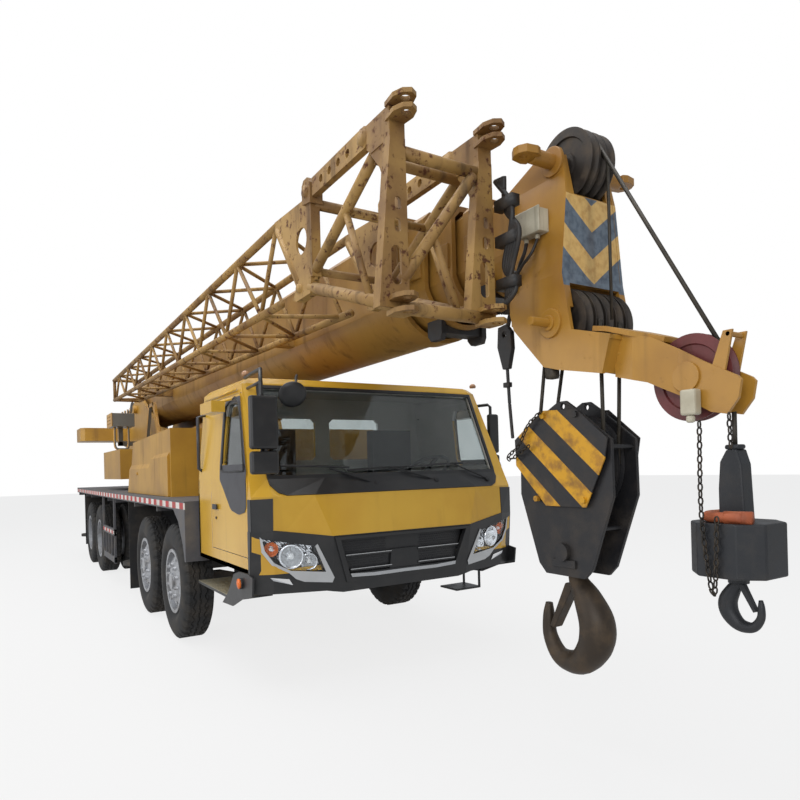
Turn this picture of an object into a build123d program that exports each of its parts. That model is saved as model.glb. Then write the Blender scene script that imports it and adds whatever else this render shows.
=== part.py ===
"""Four-axle mobile crane with a five-section telescopic boom and a lattice jib stowed on its side.

Millimetres. x runs forward from the cab's front corners, y to the left of the centre line and
z up from the ground. Every piece is drawn in this frame, and write_piece moves it back by
MIDDLE_X, so that the origin of the files lies on the ground below the middle of the length.
"""
import math
import os

from build123d import *

# ---- overall stations along x ------------------------------------------------------------
ROOSTER_TIP_X = 3150
CARRIER_REAR_X = -11100
MIDDLE_X = (ROOSTER_TIP_X + CARRIER_REAR_X) / 2
HALF_WIDTH = 1375

# ---- wheels ------------------------------------------------------------------------------
AXLE_X = (-2180, -3630, -7770, -9120)
STEERED_AXLES = 2
TYRE_R = 575
TYRE_W = 310
BEAD_R = 305
OUTER_WHEEL_Y = 1215
INNER_TWIN_Y = 865
KINGPIN_Y = 1100
SPINDLE_R = 50
SPINDLE_GAP = 0.5
KINGPIN_R = 25

# ---- carrier -----------------------------------------------------------------------------
RAIL_TOP_Z = 1250
RAIL_BOTTOM_Z = 750
RAIL_HALF_W = 430
DECK_TOP_Z = 1410
BAND_H = 100
DECK_FRONT_X = -1960
FENDER_FRONT_X = -1500
HOOD_FRONT_X = -2590
HOOD_REAR_X = -5200
HOOD_FRONT_Z = 2155
HOOD_REAR_Z = 2095
HOOD_HALF_W = 1250
HOOD_SHEET = 30
OUTRIGGER_X = (-5000, -10400)
BEAM_W = 300
BEAM_H = 320
BEAM_Z = 1010
BEAM_GAP = 6
BEAM_STROKE = 1550
JACK_Y = 1170
JACK_STROKE = 500

# ---- cab ---------------------------------------------------------------------------------
CAB_REAR_X = -1470
CAB_SIDE_Y = 1250
CAB_FLOOR_Z = 890
CAB_WAIST_Z = 1600
CAB_ROOF_Z = 2415
CAB_WALL = 45
CAB_NOSE_X = 110
CAB_NOSE_Y = 664
ROOF_HALF_W = 1175
SCREEN_FOOT = (-40, 1594)
SCREEN_HEAD = (-357, 2368)
DOOR_FRONT_X = -75
DOOR_REAR_X = -1040
DOOR_BOTTOM_Z = 1015
DOOR_TOP_Z = 2290
DOOR_GAP = 6
DOOR_INNER_Y = 1130
PILLAR_TOP_X = -400

# ---- superstructure ----------------------------------------------------------------------
SLEW_X = -7750
RING_R = 700
RING_TOP_Z = 1500
FOOT_PIN = (-9100, 2950)
FOOT_PIN_R = 80
LIFT_BASE = (-6900, 2250)
LIFT_BASE_R = 60
LIFT_EYE = (-3150, 2430)
BARREL_R = 165
ROD_R = 110
SIDE_PLATE_Y = 420
SIDE_PLATE_T = 50
TAIL_X = -10900
SLAB_Z = (2380, 2650)

# ---- boom: one row a section, from the base outwards ------------------------------------
# width, height, rear end x, front end x
BOOM_CENTRE_Z = 3020
BOOM_SECTIONS = (
    (720, 840, -9500, 750),
    (640, 742, -8600, 1020),
    (566, 650, -8400, 1290),
    (498, 566, -8200, 1560),
    (434, 490, -8000, 1770),
)
BOOM_WALL = 14
BOOM_STROKE = 7900
COLLAR_L = 190

# ---- head, sheaves and hooks -------------------------------------------------------------
HEAD_Y = 245
HEAD_PLATE = 30
LOWER_SHEAVE = (2040, 2450)
LOWER_SHEAVE_R = 227
UPPER_SHEAVE = (2030, 3330)
UPPER_SHEAVE_R = 217
ROOSTER_SHEAVE = (2850, 2060)
ROOSTER_SHEAVE_R = 190
SHEAVE_W = 60
SHAFT_R = 45
BLOCK_SHEAVE = (2030, 1560)
BLOCK_SHEAVE_R = 270
ROPE_R = 11
AUX_ROPE_X = ROOSTER_SHEAVE[0] + ROOSTER_SHEAVE_R

# ---- stowed jib --------------------------------------------------------------------------
JIB_OUT_Y = -1050
JIB_IN_Y = -450
JIB_REAR_X = -8000


# ---- drawing helpers ---------------------------------------------------------------------
def block(x0, x1, y0, y1, z0, z1):
    """A box between two corners."""
    centre = Pos((x0 + x1) / 2, (y0 + y1) / 2, (z0 + z1) / 2)
    return centre * Box(abs(x1 - x0), abs(y1 - y0), abs(z1 - z0))


def bar(start, end, radius, inner=0):
    """A round bar or tube from one point to another."""
    start, end = Vector(*start), Vector(*end)
    length = (end - start).length
    plane = Plane(origin=start, z_dir=(end - start).normalized())
    solid = Cylinder(radius, length, align=(Align.CENTER, Align.CENTER, Align.MIN))
    if inner:
        solid -= Cylinder(inner, length, align=(Align.CENTER, Align.CENTER, Align.MIN))
    return plane * solid


def side_plate(points, y0, y1):
    """A flat outline drawn in x and z, made as thick as y0 to y1."""
    face = make_face(Polyline(*[(x, 0, z) for x, z in points], close=True))
    return Pos(0, min(y0, y1), 0) * extrude(face, amount=abs(y1 - y0), dir=(0, 1, 0))


def plan_plate(points, z0, z1):
    """A flat outline drawn in x and y, made as thick as z0 to z1."""
    face = make_face(Polyline(*[(x, y, 0) for x, y in points], close=True))
    return Pos(0, 0, z0) * extrude(face, amount=z1 - z0, dir=(0, 0, 1))


def front_plate(points, x0, x1):
    """A flat outline drawn in y and z, made as thick as x0 to x1."""
    face = make_face(Polyline(*[(0, y, z) for y, z in points], close=True))
    return Pos(min(x0, x1), 0, 0) * extrude(face, amount=abs(x1 - x0), dir=(1, 0, 0))


def turned(rows, centre_y=0):
    """A solid of revolution about the y axis; rows are pairs of y and radius."""
    face = make_face(Polyline(*[(0, y + centre_y, r) for y, r in rows], close=True))
    return revolve(face, Axis.Y)


def pin_y(point, y0, y1, radius):
    """A round bar along y through the point (x, z)."""
    return bar((point[0], y0, point[1]), (point[0], y1, point[1]), radius)


def other_side(solid):
    """The same piece on the other side of the centre line."""
    return mirror(solid, about=Plane.XZ)


def joined(pieces):
    """All the pieces as one shape."""
    first, *rest = pieces
    return first + rest if rest else first


# ---- wheels and axles --------------------------------------------------------------------
def tyre(y_centre):
    half = TYRE_W / 2
    rows = ((-half + 38, BEAD_R), (-half + 38, 335), (-half, 400), (-half + 12, 500),
            (-half + 30, TYRE_R - 22),
            (-half + 52, TYRE_R), (half - 52, TYRE_R), (half - 30, TYRE_R - 22), (half - 12, 500),
            (half, 400), (half - 38, 335), (half - 38, BEAD_R))
    return turned(rows, y_centre)


def rim_barrel(y_centre):
    half = TYRE_W / 2
    rows = ((-half + 22, 290), (-half + 22, 322), (-half + 35, 322), (-half + 35, BEAD_R),
            (half - 35, BEAD_R), (half - 35, 322), (half - 22, 322), (half - 22, 290))
    return turned(rows, y_centre)


def hub_bore(y0, y1):
    return bar((0, y0, 0), (0, y1, 0), SPINDLE_R + SPINDLE_GAP)


def front_rim():
    """Convex steel disc with ten hand holes on a hub that turns on the knuckle's spindle."""
    y = OUTER_WHEEL_Y
    disc = turned(((60, 291), (78, 291), (112, 225), (130, 150), (130, 0), (112, 0), (112, 145),
                   (95, 218)), y)
    hub = turned(((-40, 0), (-40, 95), (118, 95), (118, 0)), y)
    holes = [Rot(0, 36 * n + 18, 0) * bar((0, y, 235), (0, y + 200, 235), 28) for n in range(10)]
    studs = [Rot(0, 36 * n, 0) * bar((0, y + 110, 168), (0, y + 158, 168), 17) for n in range(10)]
    cap = bar((0, y + 120, 0), (0, y + 155, 0), 80)
    return rim_barrel(y) + disc + hub - holes - hub_bore(y - 60, y + 80) + studs + cap


def twin_rim():
    """Two barrels on one deep dished disc and hub."""
    y = OUTER_WHEEL_Y
    dish = turned(((-62, 291), (-44, 291), (-36, 235), (-44, 150), (-44, 0), (-62, 0), (-62, 150),
                   (-54, 230)), y)
    spacer = turned(((INNER_TWIN_Y - y + 133, 290), (INNER_TWIN_Y - y + 133, 305),
                     (-133, 305), (-133, 290)), y)
    inner_disc = turned(((-80, 291), (-62, 291), (-62, 0), (-80, 0)), y)
    hub = turned(((-200, 0), (-200, 110), (40, 110), (60, 90), (60, 0)), y)
    studs = [Rot(0, 36 * n, 0) * bar((0, y - 50, 168), (0, y - 5, 168), 17) for n in range(10)]
    rim = rim_barrel(y) + rim_barrel(INNER_TWIN_Y) + spacer + dish + inner_disc + hub + studs
    return rim - hub_bore(y - 300, y + 30)


def wheels():
    """Tyre and rim of each wheel, the twins of the rear axles as one wheel."""
    single_tyre, single_rim = tyre(OUTER_WHEEL_Y), front_rim()
    twin_tyre = tyre(OUTER_WHEEL_Y) + tyre(INNER_TWIN_Y)
    twin = twin_rim()
    pieces = {}
    for number, x in enumerate(AXLE_X, start=1):
        steered = number <= STEERED_AXLES
        for side, flip in (("left", False), ("right", True)):
            rubber = single_tyre if steered else twin_tyre
            steel = single_rim if steered else twin
            for name, solid in (("tyre", rubber), ("rim", steel)):
                solid = other_side(solid) if flip else solid
                pieces[f"{name}_{number}_{side}"] = Pos(x, 0, TYRE_R) * solid
    return pieces


def knuckle():
    """Forked steering knuckle with its kingpin, spindle and track-rod arm."""
    fork = block(-60, 60, KINGPIN_Y - 70, KINGPIN_Y + 55, -115, 115)
    fork -= block(-70, 70, KINGPIN_Y - 80, KINGPIN_Y + 40, -66, 66)
    kingpin = bar((0, KINGPIN_Y, -110), (0, KINGPIN_Y, 110), KINGPIN_R)
    spindle = bar((0, KINGPIN_Y + 50, 0), (0, OUTER_WHEEL_Y + 70, 0), SPINDLE_R)
    arm = block(-230, -50, KINGPIN_Y - 70, KINGPIN_Y - 40, -112, -82)
    return fork + kingpin + spindle + arm


def knuckles():
    pieces = {}
    for number, x in enumerate(AXLE_X[:STEERED_AXLES], start=1):
        place = Pos(x, 0, TYRE_R)
        pieces[f"knuckle_{number}_left"] = place * knuckle()
        pieces[f"knuckle_{number}_right"] = place * other_side(knuckle())
    return pieces


def front_axle():
    """Dropped I-beam with an eye at each end for the kingpin, under two leaf springs."""
    end = KINGPIN_Y - 6
    outline = ((-end, -60), (-900, -60), (-700, -120), (700, -120), (900, -60), (end, -60),
               (end, 60), (860, 60), (680, 10), (-680, 10), (-860, 60), (-end, 60))
    beam = front_plate(outline, -50, 50)
    for y in (-KINGPIN_Y, KINGPIN_Y):
        beam += bar((0, y, -60), (0, y, 60), 34)
        beam -= bar((0, y, -100), (0, y, 100), KINGPIN_R + 1)
    return beam + leaf_springs(10)


def rear_axle():
    """Banjo axle with a spindle at each end, under two leaf springs."""
    tube = bar((0, -OUTER_WHEEL_Y + 205, 0), (0, OUTER_WHEEL_Y - 205, 0), 75)
    case = Sphere(215)
    spindle = bar((0, -OUTER_WHEEL_Y - 20, 0), (0, OUTER_WHEEL_Y + 20, 0), SPINDLE_R)
    return tube + case + spindle + leaf_springs(75)


def leaf_springs(seat_z):
    """A pack of leaves on each side, hung from the rails at its two ends."""
    rail_z = RAIL_BOTTOM_Z - TYRE_R
    springs = []
    for y in (-RAIL_HALF_W + 10, RAIL_HALF_W - 10):
        springs.append(block(-480, 480, y - 45, y + 45, rail_z - 70, rail_z - 25))
        springs.append(block(-75, 75, y - 60, y + 60, seat_z - 15, rail_z - 60))
        for x in (-455, 455):
            springs.append(block(x - 25, x + 25, y - 45, y + 45, rail_z - 60, rail_z))
    return springs


def axle_beams():
    """Four axles with their springs, and the shafts that drive the rear pair."""
    axles = [Pos(x, 0, TYRE_R) * (front_axle() if n < STEERED_AXLES else rear_axle())
             for n, x in enumerate(AXLE_X)]
    shaft = bar((AXLE_X[2] + 150, 0, TYRE_R), (-5504, 0, 690), 50)
    link = bar((AXLE_X[3] + 150, 0, TYRE_R), (AXLE_X[2] - 150, 0, TYRE_R), 50)
    return joined(axles + [shaft, link])


# ---- carrier -----------------------------------------------------------------------------
def chassis_frame():
    """Torsion box with the outrigger housings, the slew ring seat and the low front frame."""
    box = block(-11000, -1600, -RAIL_HALF_W, RAIL_HALF_W, RAIL_BOTTOM_Z, RAIL_TOP_Z)
    box -= block(-10990, -1610, -RAIL_HALF_W + 20, RAIL_HALF_W - 20, RAIL_BOTTOM_Z - 1,
                 RAIL_TOP_Z - 25)
    webs = [block(x - 10, x + 10, -RAIL_HALF_W, RAIL_HALF_W, RAIL_BOTTOM_Z, RAIL_TOP_Z)
            for x in (-2900, -6600, -8450, -9700)]
    front = [block(-1600, -60, y - 45, y + 45, 740, 860) for y in (-385, 385)]
    front.append(block(-110, -20, -900, 900, 740, 860))
    gearbox = block(-5500, -5400, -150, 150, 600, 800)
    seat = Pos(SLEW_X, 0, RAIL_TOP_Z) * Cylinder(
        RING_R + 60, RING_TOP_Z - RAIL_TOP_Z, align=(Align.CENTER, Align.CENTER, Align.MIN))
    seat -= Pos(SLEW_X, 0, RING_TOP_Z) * Cylinder(520, 120)
    tail = block(CARRIER_REAR_X, -11000, -1200, 1200, 620, 1240)
    frame = joined([box, *webs, *front, gearbox, seat, tail])
    for x in OUTRIGGER_X:
        frame += block(x - BEAM_W - 50, x + BEAM_W + 50, -1000, 1000, BEAM_Z - BEAM_H / 2 - 30,
                       BEAM_Z + BEAM_H / 2 + 30)
        for side in (-1, 1):
            cell = x + side * (BEAM_W / 2 + 15)
            frame -= block(cell - BEAM_W / 2 - BEAM_GAP, cell + BEAM_W / 2 + BEAM_GAP, -1100, 1100,
                           BEAM_Z - BEAM_H / 2 - BEAM_GAP, BEAM_Z + BEAM_H / 2 + BEAM_GAP)
    return frame


def carrier_deck():
    """Deck plate with its banded edge, the fender in front of the first wheel and side guards."""
    deck = block(CARRIER_REAR_X, DECK_FRONT_X, -HALF_WIDTH, HALF_WIDTH, DECK_TOP_Z - BAND_H,
                 DECK_TOP_Z)
    deck -= block(CARRIER_REAR_X + 20, DECK_FRONT_X - 20, -HALF_WIDTH + 30, HALF_WIDTH - 30,
                  DECK_TOP_Z - BAND_H - 1, DECK_TOP_Z - 20)
    deck -= Pos(SLEW_X, 0, DECK_TOP_Z) * Cylinder(RING_R + 60, 200)
    ribs = [block(x - 20, x + 20, -HALF_WIDTH + 30, HALF_WIDTH - 30, RAIL_TOP_Z, DECK_TOP_Z - 20)
            for x in (-2000, -2900, -4300, -5900, -6700, -8900, -9700, -11050)]
    deck = joined([deck, *ribs])
    fender = side_plate(((FENDER_FRONT_X, 840), (FENDER_FRONT_X, 1400), (DECK_FRONT_X, DECK_TOP_Z),
                         (DECK_FRONT_X, DECK_TOP_Z - BAND_H), (-1760, 1200), (-1600, 990),
                         (-1540, 840)), 620, HALF_WIDTH)
    fender -= side_plate(((FENDER_FRONT_X - 25, 800), (FENDER_FRONT_X - 25, 1370),
                          (DECK_FRONT_X - 50, 1380), (DECK_FRONT_X - 50, 800)), 500,
                         HALF_WIDTH - 30)
    for solid in (fender, other_side(fender)):
        deck += solid
    return deck


def engine_hood():
    """Hollow cover over the engine, full width, with a stepped moulding on each side."""
    outline = ((HOOD_FRONT_X, DECK_TOP_Z), (HOOD_FRONT_X, HOOD_FRONT_Z),
               (HOOD_REAR_X + 330, HOOD_REAR_Z), (HOOD_REAR_X, DECK_TOP_Z))
    skin = side_plate(outline, -HOOD_HALF_W, HOOD_HALF_W)
    room = side_plate(((HOOD_FRONT_X - HOOD_SHEET, DECK_TOP_Z - 1),
                       (HOOD_FRONT_X - HOOD_SHEET, HOOD_FRONT_Z - HOOD_SHEET),
                       (HOOD_REAR_X + 350, HOOD_REAR_Z - HOOD_SHEET),
                       (HOOD_REAR_X + HOOD_SHEET + 10, DECK_TOP_Z - 1)),
                      -HOOD_HALF_W + HOOD_SHEET, HOOD_HALF_W - HOOD_SHEET)
    return skin - room


def engine_block():
    return block(-4500, -3000, -400, 400, DECK_TOP_Z, 1980)


# ---- cab ---------------------------------------------------------------------------------
def cab_plan(inset):
    """The cab's outline from above, shrunk by inset."""
    side = CAB_SIDE_Y - inset
    return ((CAB_REAR_X + inset, -side), (-inset, -side), (CAB_NOSE_X - 50 - inset, -side + 160),
            (CAB_NOSE_X - inset, -CAB_NOSE_Y), (CAB_NOSE_X - inset, CAB_NOSE_Y),
            (CAB_NOSE_X - 50 - inset, side - 160), (-inset, side), (CAB_REAR_X + inset, side))


def cab_body(inset):
    """The cab's outer form, or with an inset the room inside it."""
    lean = Vector(SCREEN_HEAD[0] - SCREEN_FOOT[0], 0, SCREEN_HEAD[1] - SCREEN_FOOT[1])
    base_z = CAB_FLOOR_Z + inset
    body = plan_plate(cab_plan(inset), base_z, CAB_ROOF_Z - inset)
    below = block(-3000, 1000, -2000, 2000, base_z - 10, CAB_WAIST_Z - 20)
    nose = (60 - inset, -20 - inset)
    bow = make_face(Polyline((CAB_REAR_X - 2000, -1600, 0), (nose[1] - 40, -1600, 0),
                             (nose[1] - 10, -1113, 0), (nose[0], -500, 0), (nose[0], 500, 0),
                             (nose[1] - 10, 1113, 0), (nose[1] - 40, 1600, 0),
                             (CAB_REAR_X - 2000, 1600, 0), close=True))
    above = Pos(0, 0, CAB_WAIST_Z - 20) * extrude(bow, amount=lean.length, dir=lean.normalized())
    body &= below + above
    side, roof = CAB_SIDE_Y - inset, CAB_ROOF_Z - inset
    taper = front_plate(((-side, 500), (-side, CAB_WAIST_Z), (-ROOF_HALF_W + inset, roof - 40),
                         (-ROOF_HALF_W + 60 + inset, roof), (ROOF_HALF_W - 60 - inset, roof),
                         (ROOF_HALF_W - inset, roof - 40), (side, CAB_WAIST_Z), (side, 500)),
                        -3000, 1000)
    return body & taper


def door_outline(grow):
    front, rear = DOOR_FRONT_X + grow, DOOR_REAR_X - grow
    return ((front, DOOR_BOTTOM_Z - grow), (front, CAB_WAIST_Z - 40),
            (PILLAR_TOP_X + grow, DOOR_TOP_Z + grow), (rear, DOOR_TOP_Z + grow),
            (rear, DOOR_BOTTOM_Z - grow))


def door_window():
    return ((-150, 1665), (-405, 2225), (-700, 2225), (-745, 2130), (-745, 1740), (-690, 1665))


def cab_shell():
    """Hollow cab with its windscreen, rear window and the two door openings cut."""
    shell = cab_body(0) - cab_body(CAB_WALL)
    screen = front_plate(((-1060, 1620), (-1010, 2340), (1010, 2340), (1060, 1620)), -420, 300)
    rear = front_plate(((-800, 1700), (-800, 2200), (800, 2200), (800, 1700)), -1600, -1300)
    doors = [side_plate(door_outline(DOOR_GAP), side * DOOR_INNER_Y, side * 1400)
             for side in (-1, 1)]
    return shell - screen - rear - doors


def cab_door():
    """The right door, hinged at its front edge, with its window cut."""
    skin = cab_body(0) - cab_body(CAB_WALL)
    door = skin & side_plate(door_outline(0), -1400, -DOOR_INNER_Y)
    door -= side_plate(door_window(), -1400, -DOOR_INNER_Y)
    mirror_arm = bar((-560, -1180, 2262), (-700, -1300, 2230), 12)
    kerb_mirror = block(-900, -560, -1365, -1255, 2150, 2240)
    return door + mirror_arm + kerb_mirror


def door_glass():
    pane = cab_body(18) - cab_body(24)
    return pane & side_plate(door_window(), -1400, -DOOR_INNER_Y)


def cab_glass():
    """Windscreen and rear window."""
    pane = cab_body(18) - cab_body(24)
    screen = front_plate(((-1060, 1620), (-1010, 2340), (1010, 2340), (1060, 1620)), -420, 300)
    rear = front_plate(((-800, 1700), (-800, 2200), (800, 2200), (800, 1700)), -1600, -1300)
    return (pane & screen) + (pane & rear)


def cab_interior():
    """Seats, dashboard, steering wheel and the engine tunnel between the seats."""
    floor = CAB_FLOOR_Z + CAB_WALL
    pieces = [block(-1300, -500, -250, 250, floor, 1250),
              block(-350, -60, -1000, 1000, 1350, 1530),
              block(-350, -60, -900, -820, floor, 1350),
              block(-350, -60, 820, 900, floor, 1350)]
    for y in (-650, 650):
        pieces.append(block(-1150, -650, y - 240, y + 240, 1260, 1400))
        pieces.append(block(-1250, -1130, y - 230, y + 230, 1300, 2050))
        pieces.append(block(-1080, -720, y - 180, y + 180, floor, 1270))
    column = bar((-330, 650, 1400), (-480, 650, 1640), 25)
    wheel = Plane(origin=(-480, 650, 1640), z_dir=(-0.53, 0, 0.85)) * Torus(215, 16)
    spokes = Plane(origin=(-480, 650, 1640), z_dir=(-0.53, 0, 0.85)) * Box(420, 40, 14)
    return joined(pieces + [column, wheel, spokes])


def cab_trim():
    """Black bumper with the grille recess, corner panels and the mirrors with their arms."""
    front_x = CAB_NOSE_X
    outline = ((-60, -1255), (20, -1262), (CAB_NOSE_X + 10, -1110), (170, -CAB_NOSE_Y),
               (170, CAB_NOSE_Y), (CAB_NOSE_X + 10, 1110), (20, 1262), (-60, 1255))
    bumper = plan_plate(outline, 715, 1210) - cab_body(0)
    bumper -= plan_plate(cab_plan(0), 600, 1300)
    grille = block(front_x, 300, -600, 600, 800, 1110)
    bumper -= grille
    pieces = [bumper]
    for side in (-1, 1):
        pieces.append(block(150, 200, side * 1110, side * 1325, 1830, 2215))
        pieces.append(block(150, 205, side * 1115, side * 1330, 1650, 1815))
        pieces.append(bar((175, side * 1215, 1700), (175, side * 1215, 2385), 16))
        pieces.append(bar((175, side * 1215, 2385), (-330, side * 1060, 2385), 16))
    return joined(pieces)


def front_lamps():
    """A lamp unit at each corner of the bumper."""
    lamps = []
    for side in (-1, 1):
        lamps.append(plan_plate(((172, side * 716), (190, side * 716), (150, side * 1120),
                                 (60, side * 1270), (22, side * 1262), (120, side * 1110)),
                                900, 1090))
    return joined(lamps)


# ---- outriggers --------------------------------------------------------------------------
def outriggers():
    """Four sliding beams, each with a jack leg and its float."""
    pieces = {}
    for place, x in zip(("front", "rear"), OUTRIGGER_X):
        for side_name, side, cell in (("left", 1, 1), ("right", -1, -1)):
            cx = x + cell * (BEAM_W / 2 + 15)
            beam = block(cx - BEAM_W / 2, cx + BEAM_W / 2, -side * 950, side * (JACK_Y - 60),
                         BEAM_Z - BEAM_H / 2, BEAM_Z + BEAM_H / 2)
            leg = bar((cx, side * JACK_Y, 620), (cx, side * JACK_Y, 1295), 100, 66)
            cap = bar((cx, side * JACK_Y, 1275), (cx, side * JACK_Y, 1295), 100)
            bore = bar((cx, side * JACK_Y, 610), (cx, side * JACK_Y, 1275), 66)
            pieces[f"outrigger_beam_{place}_{side_name}"] = beam + leg + cap - bore
            stem = bar((cx, side * JACK_Y, 440), (cx, side * JACK_Y, 1250), 65.5)
            pad = bar((cx, side * JACK_Y, 395), (cx, side * JACK_Y, 445), 200)
            pieces[f"outrigger_float_{place}_{side_name}"] = stem + pad
    return pieces


# ---- superstructure ----------------------------------------------------------------------
def turntable_frame():
    """Slewing platform: bearing, floor, two tall side plates and the pins of boom and cylinder."""
    bearing = bar((SLEW_X, 0, RING_TOP_Z + 5), (SLEW_X, 0, 1570), RING_R)
    bearing += bar((SLEW_X, 0, 1560), (SLEW_X, 0, 1640), 440)
    floor = block(-10100, -6500, -SIDE_PLATE_Y - SIDE_PLATE_T, SIDE_PLATE_Y + SIDE_PLATE_T, 1600,
                  1680)
    outline = ((-6500, 1680), (-6640, 2420), (-7150, 2480), (-8700, 3170), (-9150, 3210),
               (-9420, 3100), (-10140, 2650), (-10140, SLAB_Z[0]), (TAIL_X, SLAB_Z[0]),
               (TAIL_X, 2310), (-10250, 2220), (-10100, 1680))
    plates = [side_plate(outline, side * SIDE_PLATE_Y, side * (SIDE_PLATE_Y + SIDE_PLATE_T))
              for side in (-1, 1)]
    pins = [pin_y(FOOT_PIN, -540, 540, FOOT_PIN_R), pin_y(LIFT_BASE, -480, 480, LIFT_BASE_R)]
    rear_web = block(-10100, -10060, -SIDE_PLATE_Y, SIDE_PLATE_Y, 1660, 2600)
    side_box = block(-8600, -6700, -1150, -SIDE_PLATE_Y - 20, 1590, 2080)
    cab_arm = block(-7400, -6700, SIDE_PLATE_Y - 40, 1100, 1515, 1600)
    return joined([bearing, floor, *plates, *pins, rear_web, side_box, cab_arm])


def counterweight():
    """Full-width slab behind and below the winches."""
    slab = plan_plate(((-10180, -HALF_WIDTH + 80), (-10180, HALF_WIDTH - 80),
                       (-10260, HALF_WIDTH - 5), (TAIL_X - 60, HALF_WIDTH - 5),
                       (TAIL_X - 100, HALF_WIDTH - 60), (TAIL_X - 100, -HALF_WIDTH + 60),
                       (TAIL_X - 60, -HALF_WIDTH + 5), (-10260, -HALF_WIDTH + 5)), *SLAB_Z)
    return slab


def winch_drums():
    """Main winch between the side plates and the auxiliary winch above the counterweight."""
    drums = []
    for x, z in ((-9755, 1990), (-10520, 2960)):
        drums.append(pin_y((x, z), -330, 330, 215))
        for y in (-330, 310):
            drums.append(pin_y((x, z), y, y + 20, 285))
    drums.append(pin_y((-9755, 1990), -SIDE_PLATE_Y, SIDE_PLATE_Y, 60))
    for side in (-1, 1):
        drums.append(side_plate(((-10700, 2650), (-10600, 3060), (-10440, 3060), (-10340, 2650)),
                                side * 350, side * 380))
    drums.append(pin_y((-10520, 2960), -380, 380, 50))
    return joined(drums)


OPERATOR_CAB = ((-7450, 1600), (-5900, 1600), (-5830, 2150), (-6250, 3050), (-7350, 3080),
                (-7450, 2700))


def operator_room(inset):
    x = [p[0] for p in OPERATOR_CAB]
    cx, cz = (min(x) + max(x)) / 2, 2290
    points = [(px + (inset if px < cx else -inset), pz + (inset if pz < cz else -inset))
              for px, pz in OPERATOR_CAB]
    return side_plate(points, 500 + inset, 1330 - inset)


def operator_openings():
    front = front_plate(((560, 2200), (560, 2960), (1270, 2960), (1270, 2200)), -6300, -5700)
    inner = side_plate(((-7100, 2250), (-7100, 2900), (-6400, 2900), (-6200, 2250)), 450, 600)
    return front, inner


def operator_door_outline(grow):
    return ((-7300 - grow, 1680 - grow), (-7300 - grow, 2950 + grow), (-6420 + grow, 2950 + grow),
            (-6200 + grow, 2250), (-6200 + grow, 1680 - grow))


def operator_cab():
    shell = operator_room(0) - operator_room(40)
    front, inner = operator_openings()
    door = side_plate(operator_door_outline(DOOR_GAP), 1200, 1400)
    seat = joined([block(-7150, -6650, 700, 1130, 1850, 1980),
                   block(-7300, -7180, 700, 1130, 1900, 2600),
                   block(-7050, -6750, 780, 1050, 1640, 1860)])
    return shell - front - inner - door + seat


def operator_cab_glass():
    pane = operator_room(15) - operator_room(22)
    front, inner = operator_openings()
    return (pane & front) + (pane & inner)


def operator_door():
    door = (operator_room(0) - operator_room(40)) & side_plate(operator_door_outline(0), 1200, 1400)
    return door - side_plate(((-7200, 2150), (-7200, 2850), (-6500, 2850), (-6330, 2300),
                              (-6330, 2150)), 1200, 1400)


def cylinder_axis(distance):
    """A point on the lift cylinder's centre line, as far as asked from its base pin."""
    dx, dz = LIFT_EYE[0] - LIFT_BASE[0], LIFT_EYE[1] - LIFT_BASE[1]
    length = math.hypot(dx, dz)
    return (LIFT_BASE[0] + dx / length * distance, 0, LIFT_BASE[1] + dz / length * distance)


CYLINDER_LENGTH = math.dist(LIFT_BASE, LIFT_EYE)


def lift_barrel():
    tube = bar(cylinder_axis(180), cylinder_axis(3450), BARREL_R)
    eye = pin_y(LIFT_BASE, -120, 120, 130) + bar(cylinder_axis(60), cylinder_axis(200), 115)
    bore = bar(cylinder_axis(300), cylinder_axis(3460), ROD_R + 1)
    return tube + eye - pin_y(LIFT_BASE, -130, 130, LIFT_BASE_R + 1) - bore


def lift_rod():
    rod = bar(cylinder_axis(330), cylinder_axis(CYLINDER_LENGTH - 40), ROD_R)
    return rod + pin_y(LIFT_EYE, -120, 120, 125)


# ---- boom --------------------------------------------------------------------------------
def boom_face(width, height, shrink=0):
    """Box section with rounded upper corners and a round belly, drawn in y and z."""
    half, top = width / 2 - shrink, BOOM_CENTRE_Z + height / 2 - shrink
    bottom, corner = BOOM_CENTRE_Z - height / 2 + shrink, width * 0.08
    belly = bottom + width * 0.36
    edges = (
        Line((0, -half, belly), (0, -half, top - corner)),
        Line((0, -half, top - corner), (0, -half + corner, top)),
        Line((0, -half + corner, top), (0, half - corner, top)),
        Line((0, half - corner, top), (0, half, top - corner)),
        Line((0, half, top - corner), (0, half, belly)),
        ThreePointArc((0, half, belly), (0, 0, bottom), (0, -half, belly)),
    )
    return make_face(edges)


def boom_tube(width, height, rear, front):
    outer = extrude(boom_face(width, height), amount=front - rear, dir=(1, 0, 0))
    inner = extrude(boom_face(width, height, BOOM_WALL), amount=front - rear + 2, dir=(1, 0, 0))
    return Pos(rear, 0, 0) * outer - Pos(rear - 1, 0, 0) * inner


def boom_collar(width, height, front):
    """The thick ring at a section's mouth."""
    outer = extrude(boom_face(width + 36, height + 36), amount=COLLAR_L, dir=(1, 0, 0))
    inner = extrude(boom_face(width, height, BOOM_WALL), amount=COLLAR_L + 2, dir=(1, 0, 0))
    return Pos(front - COLLAR_L, 0, 0) * outer - Pos(front - COLLAR_L - 1, 0, 0) * inner


def boom_section(number):
    width, height, rear, front = BOOM_SECTIONS[number - 1]
    return boom_tube(width, height, rear, front) + boom_collar(width, height, front)


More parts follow.
